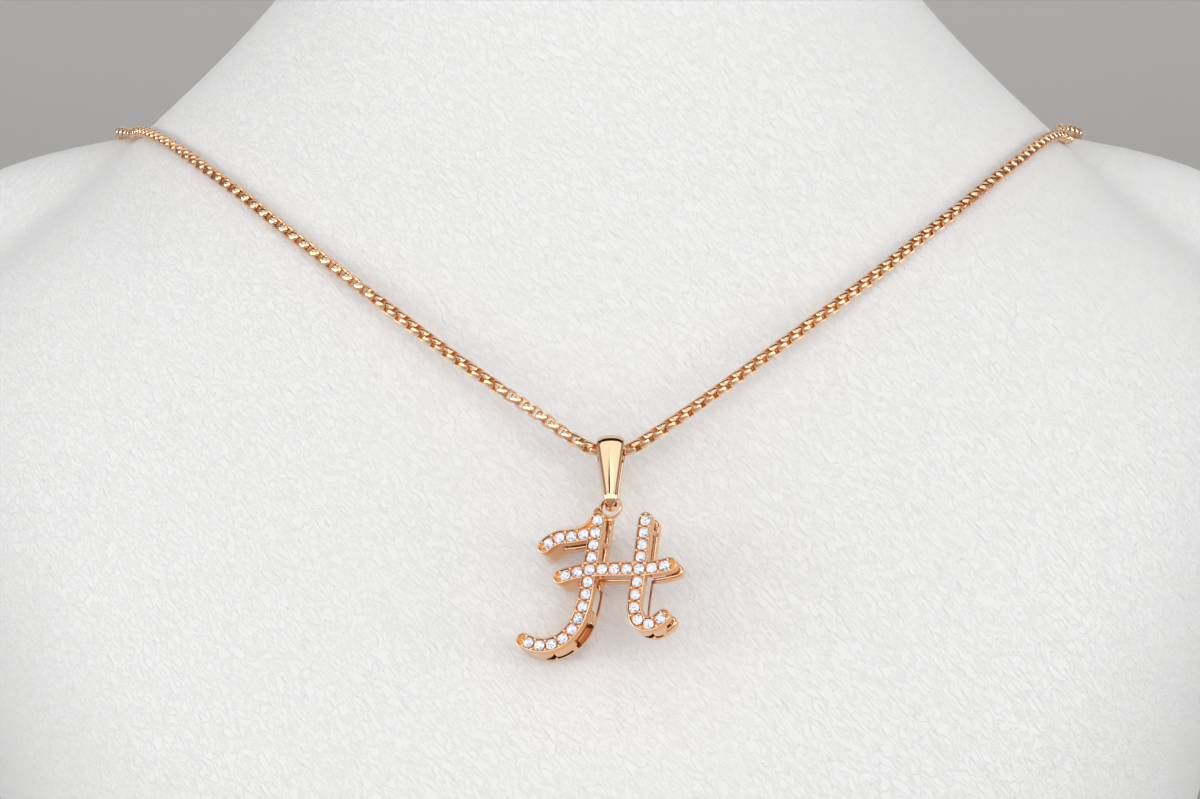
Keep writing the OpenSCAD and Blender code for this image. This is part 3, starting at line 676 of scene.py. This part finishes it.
# The shares of the stroke's width place the outermost stones in the round stroke ends
stemUp = rowOf(stem, stem.lengthAt(2), 0.10 * strokeWidth)
flourishStart = stem.at(stemUp["start"] + (stemUp["end"] - stemUp["start"])
                        * (stemUp["count"] - 1) / stemUp["count"])
flourish = Stroke(letterShape["flourish"], flourishStart)
allStrokes = [stem, bar, right, flourish]
rows = [
    stemUp,
    rowOf(stem, stem.lengthAt(2), stem.length - 0.40 * strokeWidth),
    rowOf(bar, bar.lengthAt(2), 0.33 * strokeWidth),
    rowOf(bar, bar.lengthAt(2), bar.lengthAt(4)),
    rowOf(bar, bar.lengthAt(4), bar.length - 0.37 * strokeWidth),
    rowOf(right, right.lengthAt(2), 0.08 * strokeWidth),
    rowOf(right, right.lengthAt(2), right.length - 0.22 * strokeWidth),
    rowOf(flourish, 0.0, flourish.length - 0.30 * strokeWidth),
]
stonePlaces = np.vstack([leftCrossing[None, :]] + [
    row["stroke"].at(row["start"] + (row["end"] - row["start"]) * np.arange(1, row["count"] + 1)
                     / row["count"]) for row in rows])
print("letter has", len(stonePlaces), "stones")

# Pose: bail and letter hang from the chain's lowest point and lie along the chest
apexPlace = chainLook["route"][26]


def overBust(place):
    bearingHere = np.radians(place[0])
    return bustPoint(bearingHere, place[1]) + place[2] * bustNormal(bearingHere, place[1])


apex = overBust(apexPlace)
chestHigh = bustPoint(np.radians(apexPlace[0]), apexPlace[1])
chestLow = bustPoint(np.radians(apexPlace[0]), apexPlace[1] - bailShape["length"] - letterShape["height"])
chestLean = math.atan2(chestHigh[1] - chestLow[1], chestHigh[2] - chestLow[2])
turn = math.radians(letterShape["turn"])
letterLeft = stem.line[-1][0] - halfStroke
letterReach = (max(letterLeft * math.sin(turn), (letterLeft + letterShape["width"]) * math.sin(turn))
               - backZ * math.cos(turn))
bailLean = chestLean + math.asin((letterReach + letterShape["restGap"] - apexPlace[2])
                                 / bailShape["length"])


# Carries points of a hanging piece into place: a turn about its own height, a lean, then its hook point.
def hang(points, lean, turnAngle, origin):
    p = np.asarray(points, float)
    x = p[..., 0] * math.cos(turnAngle) + p[..., 2] * math.sin(turnAngle)
    z = -p[..., 0] * math.sin(turnAngle) + p[..., 2] * math.cos(turnAngle)
    y = p[..., 1]
    return np.stack([x, y * math.sin(lean) - z * math.cos(lean),
                     y * math.cos(lean) + z * math.sin(lean)], -1) + origin


ringTop = hang(np.array([0, -bailShape["length"], 0.0]), bailLean, 0.0, apex)
ringMiddle = hang(np.array([0, -wireRadius, 0.0]), chestLean, 0.0, ringTop)


def letterPlace(points):
    return hang(points, chestLean, turn, ringMiddle)


# A bar of metal along a stroke, between two shares of its length: all points within r of its middle line at
# height z, where the profile gives r and z from the middle of the back, round the edge, to that of the front.
def strokeShell(name, stroke, profile, start=0.0, end=1.0, count=90, shift=(0.0, 0.0)):
    s = np.linspace(start * stroke.length, end * stroke.length, count)
    middle, heading = stroke.at(s), stroke.heading(s)
    left = np.stack([-heading[:, 1], heading[:, 0]], -1)
    k = np.arange(1, capSteps) / capSteps * math.pi
    ahead = math.atan2(heading[-1, 1], heading[-1, 0]) - math.pi / 2 + k
    behind = math.atan2(-heading[0, 1], -heading[0, 0]) - math.pi / 2 + k
    base = np.vstack([middle, np.repeat(middle[-1:], len(k), 0), middle[::-1],
                      np.repeat(middle[:1], len(k), 0)])
    way = np.vstack([-left, np.stack([np.cos(ahead), np.sin(ahead)], -1), left[::-1],
                     np.stack([np.cos(behind), np.sin(behind)], -1)])
    profile = np.asarray(profile, float)
    flat = base[None] + profile[:, 0][:, None, None] * way[None]
    z = np.broadcast_to(profile[:, 1][:, None, None], flat.shape[:2] + (1,))
    points = np.concatenate([flat, z], -1) + [*shift, 0.0]
    return makePiece(name, points, gridFaces(len(profile), len(base)), merge=True)


# A wall's profile with a quarter circle at both edges, which turn inward on a bar (way -1) and flare outward
# on a cutter (way 1), as points of distance from the middle line and height.
def wallProfile(radius, low, high, roundLow, roundHigh, way):
    a = np.linspace(0, math.pi / 2, 5)
    bottom = [[radius + way * roundLow * (1 - math.sin(t)), low + roundLow * (1 - math.cos(t))] for t in a]
    top = [[radius + way * roundHigh * (1 - math.cos(t)), high - roundHigh * (1 - math.sin(t))] for t in a]
    return bottom + top


def combine(target, other, operation):
    step = target.modifiers.new("step", "BOOLEAN")
    step.object = other
    step.operation = operation
    step.solver = "MANIFOLD"
    bpy.context.view_layer.update()
    shaped = target.evaluated_get(bpy.context.evaluated_depsgraph_get())
    mesh = bpy.data.meshes.new_from_object(shaped)
    target.modifiers.clear()
    target.data = mesh
    bpy.data.objects.remove(other)
    return target


webShape = {
    "bearing": 160.0,  # degrees, of the point where it leaves the stem's round top
    "reach": 1.6,  # along the flourish, in widths of the stroke
    "edge": 0.06,
    "edgeShare": 0.97,
}


# Web in the corner between stem and flourish: a hollow curve, tangent to the stem's round top and to the
# flourish's upper edge, carried down through the metal's height.
def webShell(low, high, inset=0.0):
    turnedAway = math.radians(webShape["bearing"])
    across = np.array([math.cos(turnedAway), math.sin(turnedAway)])
    side = halfStroke - inset
    reach = webShape["reach"] * strokeWidth
    a, b = stemTop + side * across, flourish.beside(reach, -side)
    alongA, alongB = np.array([-across[1], across[0]]), -flourish.heading(reach)
    share = np.linalg.solve(np.stack([alongA, -alongB], -1), b - a)[0]
    corner = a + alongA * share
    t = np.linspace(0, 1, 17)[:, None]
    curve = (1 - t) ** 2 * a + 2 * t * (1 - t) * corner + t**2 * b
    ring = np.vstack([curve, flourish.at(reach)[None], flourishStart[None], stemTop[None]])
    centre = ring.mean(0)
    edge, size = webShape["edge"], webShape["edgeShare"]
    levels = [(low, 0.0), (low, size), (low + edge, 1.0), (high - edge, 1.0), (high, size), (high, 0.0)]
    rings = [np.column_stack([centre + (ring - centre) * part, np.full(len(ring), z)])
             for z, part in levels]
    return makePiece("part", np.vstack(rings), gridFaces(len(rings), len(ring)), merge=True)


# All strokes and the web as one solid between two heights
def joinedStrokes(name, low, high, roundLow, roundHigh):
    wall = wallProfile(halfStroke, low, high, roundLow, roundHigh, -1)
    profile = [[0, low]] + wall + [[0, high]]
    solid = strokeShell(name, stem, profile)
    for other in allStrokes[1:]:
        combine(solid, strokeShell("part", other, profile), "UNION")
    return combine(solid, webShell(low, high), "UNION")


# Marks painted shade on faces: steep walls, and flat floors below a height.
def markPaintedShade(piece, floorBelow, wallShare, floorShare):
    mesh = piece.data
    normal, centre = np.empty((2, len(mesh.polygons) * 3), np.float32)
    mesh.polygons.foreach_get("normal", normal)
    mesh.polygons.foreach_get("center", centre)
    wallNormal = 0.6  # a wall's normal rises less than this
    steep = np.abs(normal.reshape(-1, 3)[:, 2]) < wallNormal
    low = centre.reshape(-1, 3)[:, 2] / mm < floorBelow
    markFaces(piece, "paintedShadeShare", np.where(steep, wallShare, np.where(low, floorShare, 0.0)))
    return piece


plateShape = {
    "roundLow": 0.12,
    "roundHigh": 0.08,
    "channelDepth": 0.36,
    "channelFoot": [[-0.06, 0.0], [-0.01, 0.05]],  # from the rim's inside and the floor
    "channelLip": [[0.0, -0.03], [0.03, 0.0], [0.03, 0.5]],  # from the rim's inside and the face
    "cutAbove": 0.5,
    "cutBelow": 0.3,
    "seatPlay": 0.03,
    "seatDepth": 0.05,  # of the girdle's bore below the channel
    "holeShare": 0.52,  # of the stone's radius
    "holeDepth": 0.35,
    "pitLift": 0.02,
    "pitRadius": 0.22,
    "pitStretch": 2.2,
    "beadStretch": 1.5,
    "beadSide": 0.33,  # from the middle line, in widths of the stroke
    "endBeads": [-50, 0, 50],  # degrees round the last stone
    "endBeadGap": 0.14,
    "paintedShade": [0.75, 1.0],  # painted shade share for walls, and for floors
    "paintedShadeFrom": 0.05,  # floors this far below the face get painted shade
}


def buildPlate():
    p = plateShape
    low, high = faceZ - letterShape["plate"], faceZ
    plate = joinedStrokes("stonePlate", low, high, p["roundLow"], p["roundHigh"])
    floor = high - p["channelDepth"]
    inner = halfStroke - letterShape["rim"]
    channel = ([[0, floor]] + [[inner + x, floor + z] for x, z in p["channelFoot"]]
               + [[inner + x, high + z] for x, z in p["channelLip"]] + [[0, high + p["cutAbove"]]])
    for other in allStrokes:
        combine(plate, strokeShell("part", other, channel), "DIFFERENCE")
    for cutter in [webShell(floor, high + p["cutAbove"], letterShape["rim"]), buildSeats(floor, low),
                   buildPits(floor)]:
        combine(plate, cutter, "DIFFERENCE")
    markPaintedShade(plate, high - p["paintedShadeFrom"], *p["paintedShade"])
    crispEdges(plate, letterShape["crispAngle"])
    return plate


# Seats: a round bore for each stone's girdle, a cone for its underside and a hole through the plate.
def buildSeats(floor, low):
    p = plateShape
    bore = stoneShape["diameter"] / 2 + p["seatPlay"]
    hole = p["holeShare"] * stoneShape["diameter"] / 2
    top, bottom = floor + p["cutAbove"], low - p["cutBelow"]
    profile = np.array([[0.0, top], [bore, top], [bore, floor - p["seatDepth"]],
                        [hole, low + p["holeDepth"]], [hole, bottom], [0.0, bottom]])
    t = fullTurn(24)
    one = aroundAxis(profile[:, :1], t, profile[:, 1:]).reshape(-1, 3)
    places = np.column_stack([stonePlaces, np.zeros(len(stonePlaces))])
    faces = repeatFaces(gridFaces(len(profile), len(t)), len(places), len(one))
    return makePiece("part", places[:, None, :] + one, faces, merge=True)


# Small round shells on a shared pattern of latitude and longitude, one for each spot.
def buildBalls(name, spots, z, radius, stretch, columns):
    lat = np.linspace(-math.pi / 2, math.pi / 2, ballRows)
    shape = aroundAxis(np.cos(lat)[:, None], fullTurn(columns), np.sin(lat)[:, None] * stretch)
    shape = shape.reshape(-1, 3)
    places = np.column_stack([spots, np.full(len(spots), z)])
    faces = repeatFaces(gridFaces(ballRows, columns), len(places), len(shape))
    return makePiece(name, places[:, None, :] + shape * radius, faces, merge=True)


# Pits between neighbouring stones, where the graver dug the metal up into beads
def buildPits(floor):
    p = plateShape
    spots = np.vstack([row["stroke"].at(betweenStones(row)) for row in rows])
    return buildBalls("part", spots, floor + p["pitLift"], p["pitRadius"], p["pitStretch"], 12)


# Beads stand in pairs between neighbouring stones and round the last stone of a free stroke end.
def buildBeads():
    p = plateShape
    spots = []
    for row in rows:
        stroke, end, s = row["stroke"], row["end"], betweenStones(row)
        for side in (-1, 1):
            spots.append(stroke.beside(s, np.full(len(s), side * p["beadSide"] * strokeWidth)))
        if abs(end - stroke.length) < strokeWidth or end < strokeWidth:
            out = stroke.heading(end) * np.sign(end - row["start"])
            d = stoneShape["diameter"] / 2 + p["endBeadGap"]
            for a in p["endBeads"]:
                if a == 0 and row is stemUp:
                    continue  # the ring stands there
                angle = math.atan2(out[1], out[0]) + math.radians(a)
                spots.append(stroke.at(end)[None] + d * np.array([math.cos(angle), math.sin(angle)]))
    return buildBalls("beads", np.vstack(spots), faceZ - letterShape["rimHeight"], stoneShape["bead"] / 2,
                      p["beadStretch"], 10)


# Open frame behind the plate. A window runs along a stroke between two shares of its length, leaves a rail
# of the given width on both sides and starts at a height above the back. A notch opens the wall: it is a
# piece of the stroke's own bar, moved by the given x and y, and leaves a rail of the given height.
frameShape = {
    "roundLow": 0.06,
    "roundHigh": 0.30,
    "flare": 0.05,
    "cutPast": 0.4,
    "notchPast": 0.3,
    "paintedShade": [0.25, 0.45],  # painted shade share for walls, and for floors
    "paintedShadeBelow": 0.5,  # painted shade on floors below this height above the back
    "windows": [
        [stem, 0.045, 0.35, 0.50, 0.0], [stem, 0.41, 0.52, 0.26, 0.0], [stem, 0.60, 0.70, 0.28, 0.42],
        [stem, 0.78, 0.86, 0.28, 0.3], [bar, 0.08, 0.90, 0.42, 0.0], [right, 0.055, 0.30, 0.50, 0.0],
        [right, 0.40, 0.68, 0.24, 0.0], [right, 0.965, 0.985, 0.28, 0.3],
        [flourish, 0.05, 0.86, 0.50, 0.3]],
    "notches": [
        [stem, 0.43, 0.50, (0.5, -0.1), 0.4], [stem, 0.62, 0.69, (0.45, -0.35), 0.4],
        [stem, 0.775, 0.855, (0.12, -0.7), 0.6], [right, 0.45, 0.65, (0.5, 0.0), 0.4],
        [right, 0.835, 0.88, (0.1, -0.7), 0.7]],
    # Closed stroke ends and bridges between frame and plate: stroke, start and end
    "fillings": [
        [stem, 0.55, 0.56], [stem, 0.74, 0.81], [stem, 0.88, 1.0], [flourish, 0.82, 1.0],
        [bar, 0.0, 0.07], [right, 0.74, 0.82], [right, 0.91, 0.93]],
    "fillingOverlap": 0.15,
    "fillingPaintedShade": [0.0, 0.3, 0.3],  # painted shade: floors below this height, share for walls and floors
}


def buildFrame():
    f = frameShape
    low, high = backZ, backZ + letterShape["frame"]
    back = joinedStrokes("openFrame", low, high, f["roundLow"], f["roundHigh"])
    for stroke, start, end, rail, floor in f["windows"]:
        radius, flare = halfStroke - rail, f["flare"]
        wall = wallProfile(radius, low, high, flare, flare, 1)
        if floor:
            foot = [[0, low + floor]] + [[r, max(z, low + floor)] for r, z in wall[1:]]
        else:
            foot = [[0, low - f["cutPast"]], [radius + flare, low - f["cutPast"]]] + wall
        window = foot + [[radius + flare, high + f["cutPast"]], [0, high + f["cutPast"]]]
        combine(back, strokeShell("part", stroke, window, start, end), "DIFFERENCE")
    for stroke, start, end, shift, rail in f["notches"]:
        top = high + f["notchPast"]
        notch = [[0, low + rail], [halfStroke, low + rail], [halfStroke, top], [0, top]]
        combine(back, strokeShell("part", stroke, notch, start, end, shift=shift), "DIFFERENCE")
    markPaintedShade(back, low + f["paintedShadeBelow"], *f["paintedShade"])
    crispEdges(back, letterShape["crispAngle"])
    return back


def buildFillings():
    overlap = frameShape["fillingOverlap"]
    low, high = backZ + letterShape["frame"] - overlap, faceZ - letterShape["plate"] + overlap
    profile = [[0, low], [halfStroke, low], [halfStroke, high], [0, high]]
    whole, *others = [strokeShell("fillings", stroke, profile, start, end, 24)
                      for stroke, start, end in frameShape["fillings"]]
    for other in others:
        combine(whole, other, "UNION")
    markPaintedShade(whole, *frameShape["fillingPaintedShade"])
    crispEdges(whole, letterShape["crispAngle"])
    return whole


joinShape = {
    # Posts: stroke, share of its length, place beside it in widths of the stroke
    "posts": [[right, 0.07, 0.28], [stem, 0.13, 0.26], [bar, 0.93, 0.0], [right, 0.97, 0.0]],
    "postRadius": 0.35,
    "postFeet": [0.16, 0.12],  # how much wider the post is at the frame and at the plate
    "postFoot": 0.10,  # share of the height over which that fades
    "postSink": 0.6,
    "overlap": 0.1,
    # Solder: degrees round the ring's middle, distance from it, half sizes away from and along the ring,
    # and its two heights
    "solder": [[257, 1.62, 0.50, 0.56, -1.1, 0.3], [209, 1.66, 0.50, 0.70, -0.3, 0.85]],
    "solderWaist": 0.16,
    "solderPower": 0.7,
    "paintedShade": [0.0, 0.6, 0.0],  # painted shade, only on faces that are steep as the letter hangs
    "ringPowers": [0.75, 0.5],  # of the band's section, away from its middle and along its axis
}


# Post: a radius that widens toward both ends as an exponential, carried round an upright axis.
def postParts(stroke, share, side):
    j = joinShape
    low = backZ + letterShape["frame"] - j["overlap"]
    high = faceZ - letterShape["plate"] + j["overlap"]
    z = np.linspace(low - j["postSink"], high, 14)
    f = np.clip((z - low) / (high - low), 0, 1)
    r = (j["postRadius"] + j["postFeet"][0] * np.exp(-f / j["postFoot"])
         + j["postFeet"][1] * np.exp(-(1 - f) / j["postFoot"]))
    r[0], r[-1] = 0.0, 0.0
    spot = stroke.beside(share * stroke.length, side * strokeWidth)
    t = fullTurn(28)
    return aroundAxis(r[:, None], t, z[:, None]) + [*spot, 0.0], gridFaces(len(z), len(t))


# Ring: a rounded band profile carried round the ring's middle.
def ringParts():
    wall, half = letterShape["ringWall"], letterShape["ringLength"] / 2
    k, t = fullTurn(24), fullTurn(96)
    radius = ringRadius - wall / 2 + wall / 2 * squared(np.cos(k), joinShape["ringPowers"][0])
    z = half * squared(np.sin(k), joinShape["ringPowers"][1])
    return aroundAxis(radius, t[:, None], z), gridFaces(len(t), len(k), closeRows=True)


# Solder: a soft block beside the ring, nearly square in plan and waisted in height.
def solderParts(degrees, distance, away, aside, low, high):
    c, s = math.cos(math.radians(degrees)), math.sin(math.radians(degrees))
    size = 1.0 - joinShape["solderWaist"] * np.sin(math.pi * np.linspace(0, 1, 12))
    size[0], size[-1] = 0.0, 0.0
    t = fullTurn(32)
    u = away * squared(np.cos(t), joinShape["solderPower"])
    v = aside * squared(np.sin(t), joinShape["solderPower"])
    x = distance * c + size[:, None] * (u * c - v * s)
    y = distance * s + size[:, None] * (u * s + v * c)
    z = np.linspace(low, high, len(size))[:, None]
    return pointsFrom(x, y, z), gridFaces(len(size), len(t))


def joinParts(name, parts):
    points, faces, count = [], [], 0
    for p, f in parts:
        points.append(p.reshape(-1, 3))
        faces.append(f + count)
        count += len(points[-1])
    return makePiece(name, np.vstack(points), np.vstack(faces), merge=True)


stoneLook = {
    "color": (0.86, 0.90, 0.97),
    "roughness": 0.03,
    "ior": 2.1,
    "shine": 0.8,
    "lift": 0.02,  # of the girdle above the beads' middles
    # painted reflections in the facets: shares of a facet's random number from 0 to 1, and the colour from
    # there on, from dark shade to bright sky
    "paintedReflections": [(0.0, (0.24, 0.30, 0.42)), (0.13, (0.56, 0.66, 0.84)), (0.40, (0.78, 0.85, 0.97)),
               (0.66, (0.98, 0.99, 1.0))],
}


# Brilliant: table, stars, kites, upper and lower girdle facets and pavilion, each a flat face.
def brilliantTemplate():
    d = stoneShape
    r = d["diameter"] / 2
    eight = np.arange(8) * math.pi / 4
    half = eight + math.pi / 8
    sixteen = np.arange(16) * math.pi / 8
    points = np.vstack([
        aroundAxis(r * d["table"], half, d["crown"]),
        aroundAxis(r * d["table"] * d["tableMiddle"], eight, d["crown"]),
        [[0, 0, d["crown"]]],
        aroundAxis(r * d["star"], eight, d["crown"] * d["starHeight"]),
        aroundAxis(r, sixteen, 0.0),
        aroundAxis(r, sixteen, -d["girdle"]),
        aroundAxis(r * d["deep"], half, -d["girdle"] - d["pavilion"] * d["deepShare"]),
        [[0, 0, -d["girdle"] - d["pavilion"]]]])
    table, inner, middle, star, top, low, deep, culet = 0, 8, 16, 17, 25, 41, 57, 65
    faces = []
    for k in range(8):
        n, b = (k + 1) % 8, (k - 1) % 8
        here, half, beyond = 2 * k, 2 * k + 1, (2 * k + 2) % 16
        faces += [
            [inner + k, inner + n, middle],
            [table + b, table + k, inner + k],
            [inner + k, table + k, inner + n],
            [table + b, table + k, star + k],
            [star + k, table + k, star + n, top + half],
            [star + k, top + half, top + here],
            [star + n, top + beyond, top + half],
            [top + here, top + half, low + half, low + here],
            [top + half, top + beyond, low + beyond, low + half],
            [low + here, low + half, deep + k],
            [low + half, low + beyond, deep + k],
            [low + beyond, deep + n, deep + k],
            [deep + k, deep + n, culet]]
    return points, faces


def buildStones():
    template, faces = brilliantTemplate()
    rng = np.random.default_rng(7)
    spin = rng.uniform(0, 2 * math.pi, len(stonePlaces))[:, None]
    c, s = np.cos(spin), np.sin(spin)
    x = template[:, 0] * c - template[:, 1] * s + stonePlaces[:, :1]
    y = template[:, 0] * s + template[:, 1] * c + stonePlaces[:, 1:]
    z = template[:, 2] + faceZ - letterShape["rimHeight"] + stoneLook["lift"]
    allFaces = [[i + k * len(template) for i in f] for k in range(len(stonePlaces)) for f in faces]
    piece = makePiece("stones", pointsFrom(x, y, z), allFaces, smooth=False)
    # Each facet carries a random number that picks its painted reflection, from dark shade to bright sky
    markFaces(piece, "paintedFacetReflection", rng.uniform(0, 1, len(piece.data.polygons)))
    return piece


def stoneMaterial():
    material, shader = newMaterial("whiteStone", stoneLook["color"], stoneLook["roughness"])
    tree = material.node_tree
    paintedReflection = addNode(tree, "ShaderNodeAttribute", attribute_name="paintedFacetReflection")
    # Painted reflections: each facet takes a flat colour, from dark blue-grey to white, in place of the light
    # a cut stone reflects and bends
    ramp = addNode(tree, "ShaderNodeValToRGB", {"Fac": paintedReflection.outputs["Fac"]})
    ramp.color_ramp.interpolation = "CONSTANT"
    steps = ramp.color_ramp.elements
    steps[1].position = stoneLook["paintedReflections"][1][0]
    for position, _ in stoneLook["paintedReflections"][2:]:
        steps.new(position)
    for step, (_, color) in zip(steps, stoneLook["paintedReflections"]):
        step.color = (*color, 1)
    tree.links.new(ramp.outputs["Color"], shader.inputs["Base Color"])
    shader.inputs["IOR"].default_value = stoneLook["ior"]
    shader.inputs["Specular IOR Level"].default_value = stoneLook["shine"]
    return material


# Moves a mesh from the letter's own frame into place.
def settle(piece):
    mesh = piece.data
    flat = np.empty(len(mesh.vertices) * 3, np.float32)
    mesh.vertices.foreach_get("co", flat)
    placed = letterPlace(flat.reshape(-1, 3) / mm) * mm
    mesh.vertices.foreach_set("co", placed.astype(np.float32).ravel())
    mesh.update()
    return piece


def finishLetterPiece(piece, material=polishedGold, nodes=()):
    finishPiece(piece, material, "letter", nodes)


finishLetterPiece(settle(buildPlate()), nodes=["letter"])
finishLetterPiece(settle(buildFrame()))
finishLetterPiece(settle(buildFillings()))
posts = [postParts(*post) for post in joinShape["posts"]]
solders = [solderParts(*solder) for solder in joinShape["solder"]]
finishLetterPiece(markPaintedShade(settle(joinParts("posts", posts + solders)), *joinShape["paintedShade"]))
finishLetterPiece(settle(joinParts("ring", [ringParts()])))
finishLetterPiece(settle(buildBeads()), beadGold)
finishLetterPiece(settle(buildStones()), stoneMaterial(),
                  ["stone_%02d" % (k + 1) for k in range(len(stonePlaces))])
print("letter set")


# Bail: stations of the loop give the direction of the leaf's normal and the distance down the bail;
# at each the leaf's section is a dome over a flat inside, with rounded edges.
def buildBail():
    b = bailShape
    topR = b["chainRadius"] + b["chainGap"]
    ringTwist = abs(math.radians(letterShape["turn"] - b["turn"]))
    halfRing = letterShape["ringLength"] / 2
    edgeX = b["lowWidth"] / 2 / math.cos(ringTwist) + halfRing * math.tan(ringTwist)
    edgeZ = edgeX * math.sin(ringTwist) + halfRing * math.cos(ringTwist)
    edgeY = wireRadius - math.sqrt((ringRadius - letterShape["ringWall"]) ** 2 - edgeX**2)
    lowR = math.hypot(edgeZ, edgeY) + b["wireGap"]
    taper = math.degrees(math.asin((topR - lowR) / b["length"]))
    turned, sides = b["turnSteps"], b["sideSteps"]
    over = np.linspace(-taper, 180 + taper, turned)
    under = np.linspace(180 + taper, 360 - taper, turned)
    straight = np.linspace(0, 1, sides + 2)[1:-1]
    angle = np.concatenate([over, np.full(sides, 180 + taper), under, np.full(sides, 360 - taper)])
    down = np.concatenate([np.zeros(turned), straight, np.ones(turned), straight[::-1]])
    low = np.abs(angle - 270) / b["keelSpan"]
    keel = np.where((down == 1) & (low < 1), b["keel"] + (1 - b["keel"]) * low, 1.0)
    behind = np.clip((90 - np.abs(angle - 180)) / b["backSpan"], 0, 1)
    back = 1 + (b["backShare"] - 1) * behind
    rounded = np.clip(1 - np.abs(angle - 90) / b["crestSpan"], 0, 1) ** b["crestPower"]
    crest = np.where(down == 0, 1 + (b["crestShare"] - 1) * rounded, 1.0)
    width = (b["topWidth"] + (b["lowWidth"] - b["topWidth"]) * down) * keel * back * crest
    radius = topR + (lowR - topR) * down + b["bow"] * np.sin(math.pi * down) * (angle < 90)
    crown = b["crown"] * np.sqrt(width / b["topWidth"])
    # Section: elliptic dome outside, rim, and the same dome inside
    outer = np.linspace(-math.pi / 2, math.pi / 2, 29)
    inner = np.linspace(math.pi / 2, -math.pi / 2, 17)
    rimWidth, rimRise = np.array(b["rimWidth"]), np.array(b["rimRise"])
    flat = np.zeros(len(rimWidth))
    x = np.concatenate([np.sin(outer), rimWidth, b["innerDome"] * np.sin(inner), -rimWidth[::-1]])
    rise = b["wall"] * np.concatenate([np.ones(len(outer)), rimRise, 0 * inner, rimRise[::-1]])
    domed = np.concatenate([np.cos(outer), flat, np.cos(inner), flat])
    px = x * width[:, None] / 2
    pr = radius[:, None] + rise + crown[:, None] * domed
    a = np.radians(angle)[:, None]
    points = pointsFrom(px, pr * np.sin(a) - down[:, None] * b["length"], pr * np.cos(a))
    points = hang(points, bailLean, math.radians(b["turn"]), apex)
    piece = makePiece("bailLeaf", points, gridFaces(len(angle), len(x), closeRows=True))
    crispEdges(piece, b["crispAngle"])
    return piece


finishPiece(buildBail(), polishedGold, "bail", ["bail"])
print("bail bent")

# Stage: a round pale floor that curves up far away into a wall, lit behind the bust by its own panel
stage = {
    "color": (0.46, 0.45, 0.445),
    "roughness": 0.7,
    "floor": [300.0, 1200.0],  # radii of the flat floor's rings
    "radius": 2700.0,
    "bend": 300.0,
    "wallTop": 1800.0,
    "columns": 96,
}


# Rings of a radius and a height: flat, round the bend as a quarter circle, then straight up.
def buildStage():
    s = stage
    t = np.linspace(0, math.pi / 2, 16)
    r = np.concatenate([s["floor"], s["radius"] - s["bend"] + s["bend"] * np.sin(t), [s["radius"]]])
    z = np.concatenate([[0.0, 0.0], s["bend"] * (1 - np.cos(t)), [s["wallTop"]]])
    n = s["columns"]
    faces = gridFaces(len(z), n)[:, ::-1].tolist() + [list(range(n))]
    return makePiece("table", aroundAxis(r[:, None], fullTurn(n), z[:, None]), faces, outward=False)


table = buildStage()
table.data.materials.append(newMaterial("paleCard", stage["color"], stage["roughness"])[0])
print("stage set")

lights = {
    "aim": (0.0, -60.0, 100.0),
    "distance": 1150.0,
    # bands of panels: lowest and highest elevation from the front, then for each panel its left and right
    # edge in mm and its brightness
    "bands": [
        [-4.5, 14.0, (-1500.0, -350.0, 2.2), (-350.0, 350.0, 1.4), (350.0, 1500.0, 2.2)],
        [16.0, 33.0, (-1300.0, -300.0, 2.1), (-300.0, 300.0, 1.7), (300.0, 1300.0, 2.1)],
        [36.0, 65.1, (-1400.0, -330.0, 0.9), (-85.0, 10.0, 2.2), (10.0, 480.0, 1.45),
         (480.0, 1400.0, 0.85)],
        [65.1, 71.5, (-1250.0, 1300.0, 1.22)],
        [71.5, 76.0, (-1100.0, 1100.0, 1.1)],
        [104.0, 150.0, (-900.0, 900.0, 0.78)],
    ],
    # pairs at both sides: place of the right one, size, brightness at the right and at the left
    "sides": [
        [(1250.0, -750.0, 130.0), 520.0, 3.6, 4.2],
        [(1250.0, -300.0, 190.0), 420.0, 7.0, 7.6],
        [(1500.0, -100.0, 1100.0), 800.0, 0.3, 0.3],
    ],
    # wash on the wall behind the bust: place, tilt, width, height, brightness
    "wall": [(0.0, 1700.0, 1000.0), 31.0, 2400.0, 600.0, 2.7],
    "world": 0.02,
    "worldColor": (0.93, 0.95, 1.0),
}


def addPanel(name, place, turn, across, along, brightness):
    lamp = bpy.data.lights.new(name, "AREA")
    lamp.shape = "RECTANGLE"
    lamp.size, lamp.size_y = across * mm, along * mm
    lamp.energy = brightness * math.pi * across * along * mm * mm
    panel = bpy.data.objects.new(name, lamp)
    panel.location = place * mm
    panel.rotation_euler = turn
    panel.visible_camera = False
    bpy.context.scene.collection.objects.link(panel)


# A panel faces the pendant from a band of elevations; above 90 degrees it hangs behind the bust.
aim, reach = Vector(lights["aim"]), lights["distance"]
for low, high, *panels in lights["bands"]:
    middle, spread = math.radians((low + high) / 2), math.radians((high - low) / 2)
    for leftEdge, rightEdge, brightness in panels:
        way = Vector(((leftEdge + rightEdge) / 2, -reach * math.cos(middle), reach * math.sin(middle)))
        addPanel("panel", aim + way, (math.pi / 2 - middle, 0, 0), rightEdge - leftEdge,
                 2 * reach * math.tan(spread), brightness)
place, tilt, across, along, brightness = lights["wall"]
addPanel("wallWash", Vector(place), (math.pi / 2 - math.radians(tilt), 0, 0), across, along, brightness)
for (x, y, z), size, *pair in lights["sides"]:
    for place, brightness in zip([Vector((x, y, z)), Vector((-x, y, z))], pair):
        turned = (aim - place).to_track_quat("-Z", "Y").to_euler()
        addPanel("sidePanel", place, turned, size, size, brightness)
print("lights hung")

world = bpy.data.worlds.new("studio")
bpy.context.scene.world = world
world.use_nodes = True
air = world.node_tree.nodes["Background"]
air.inputs["Color"].default_value = (*lights["worldColor"], 1)
air.inputs["Strength"].default_value = lights["world"]
bpy.context.scene.view_settings.view_transform = "Standard"
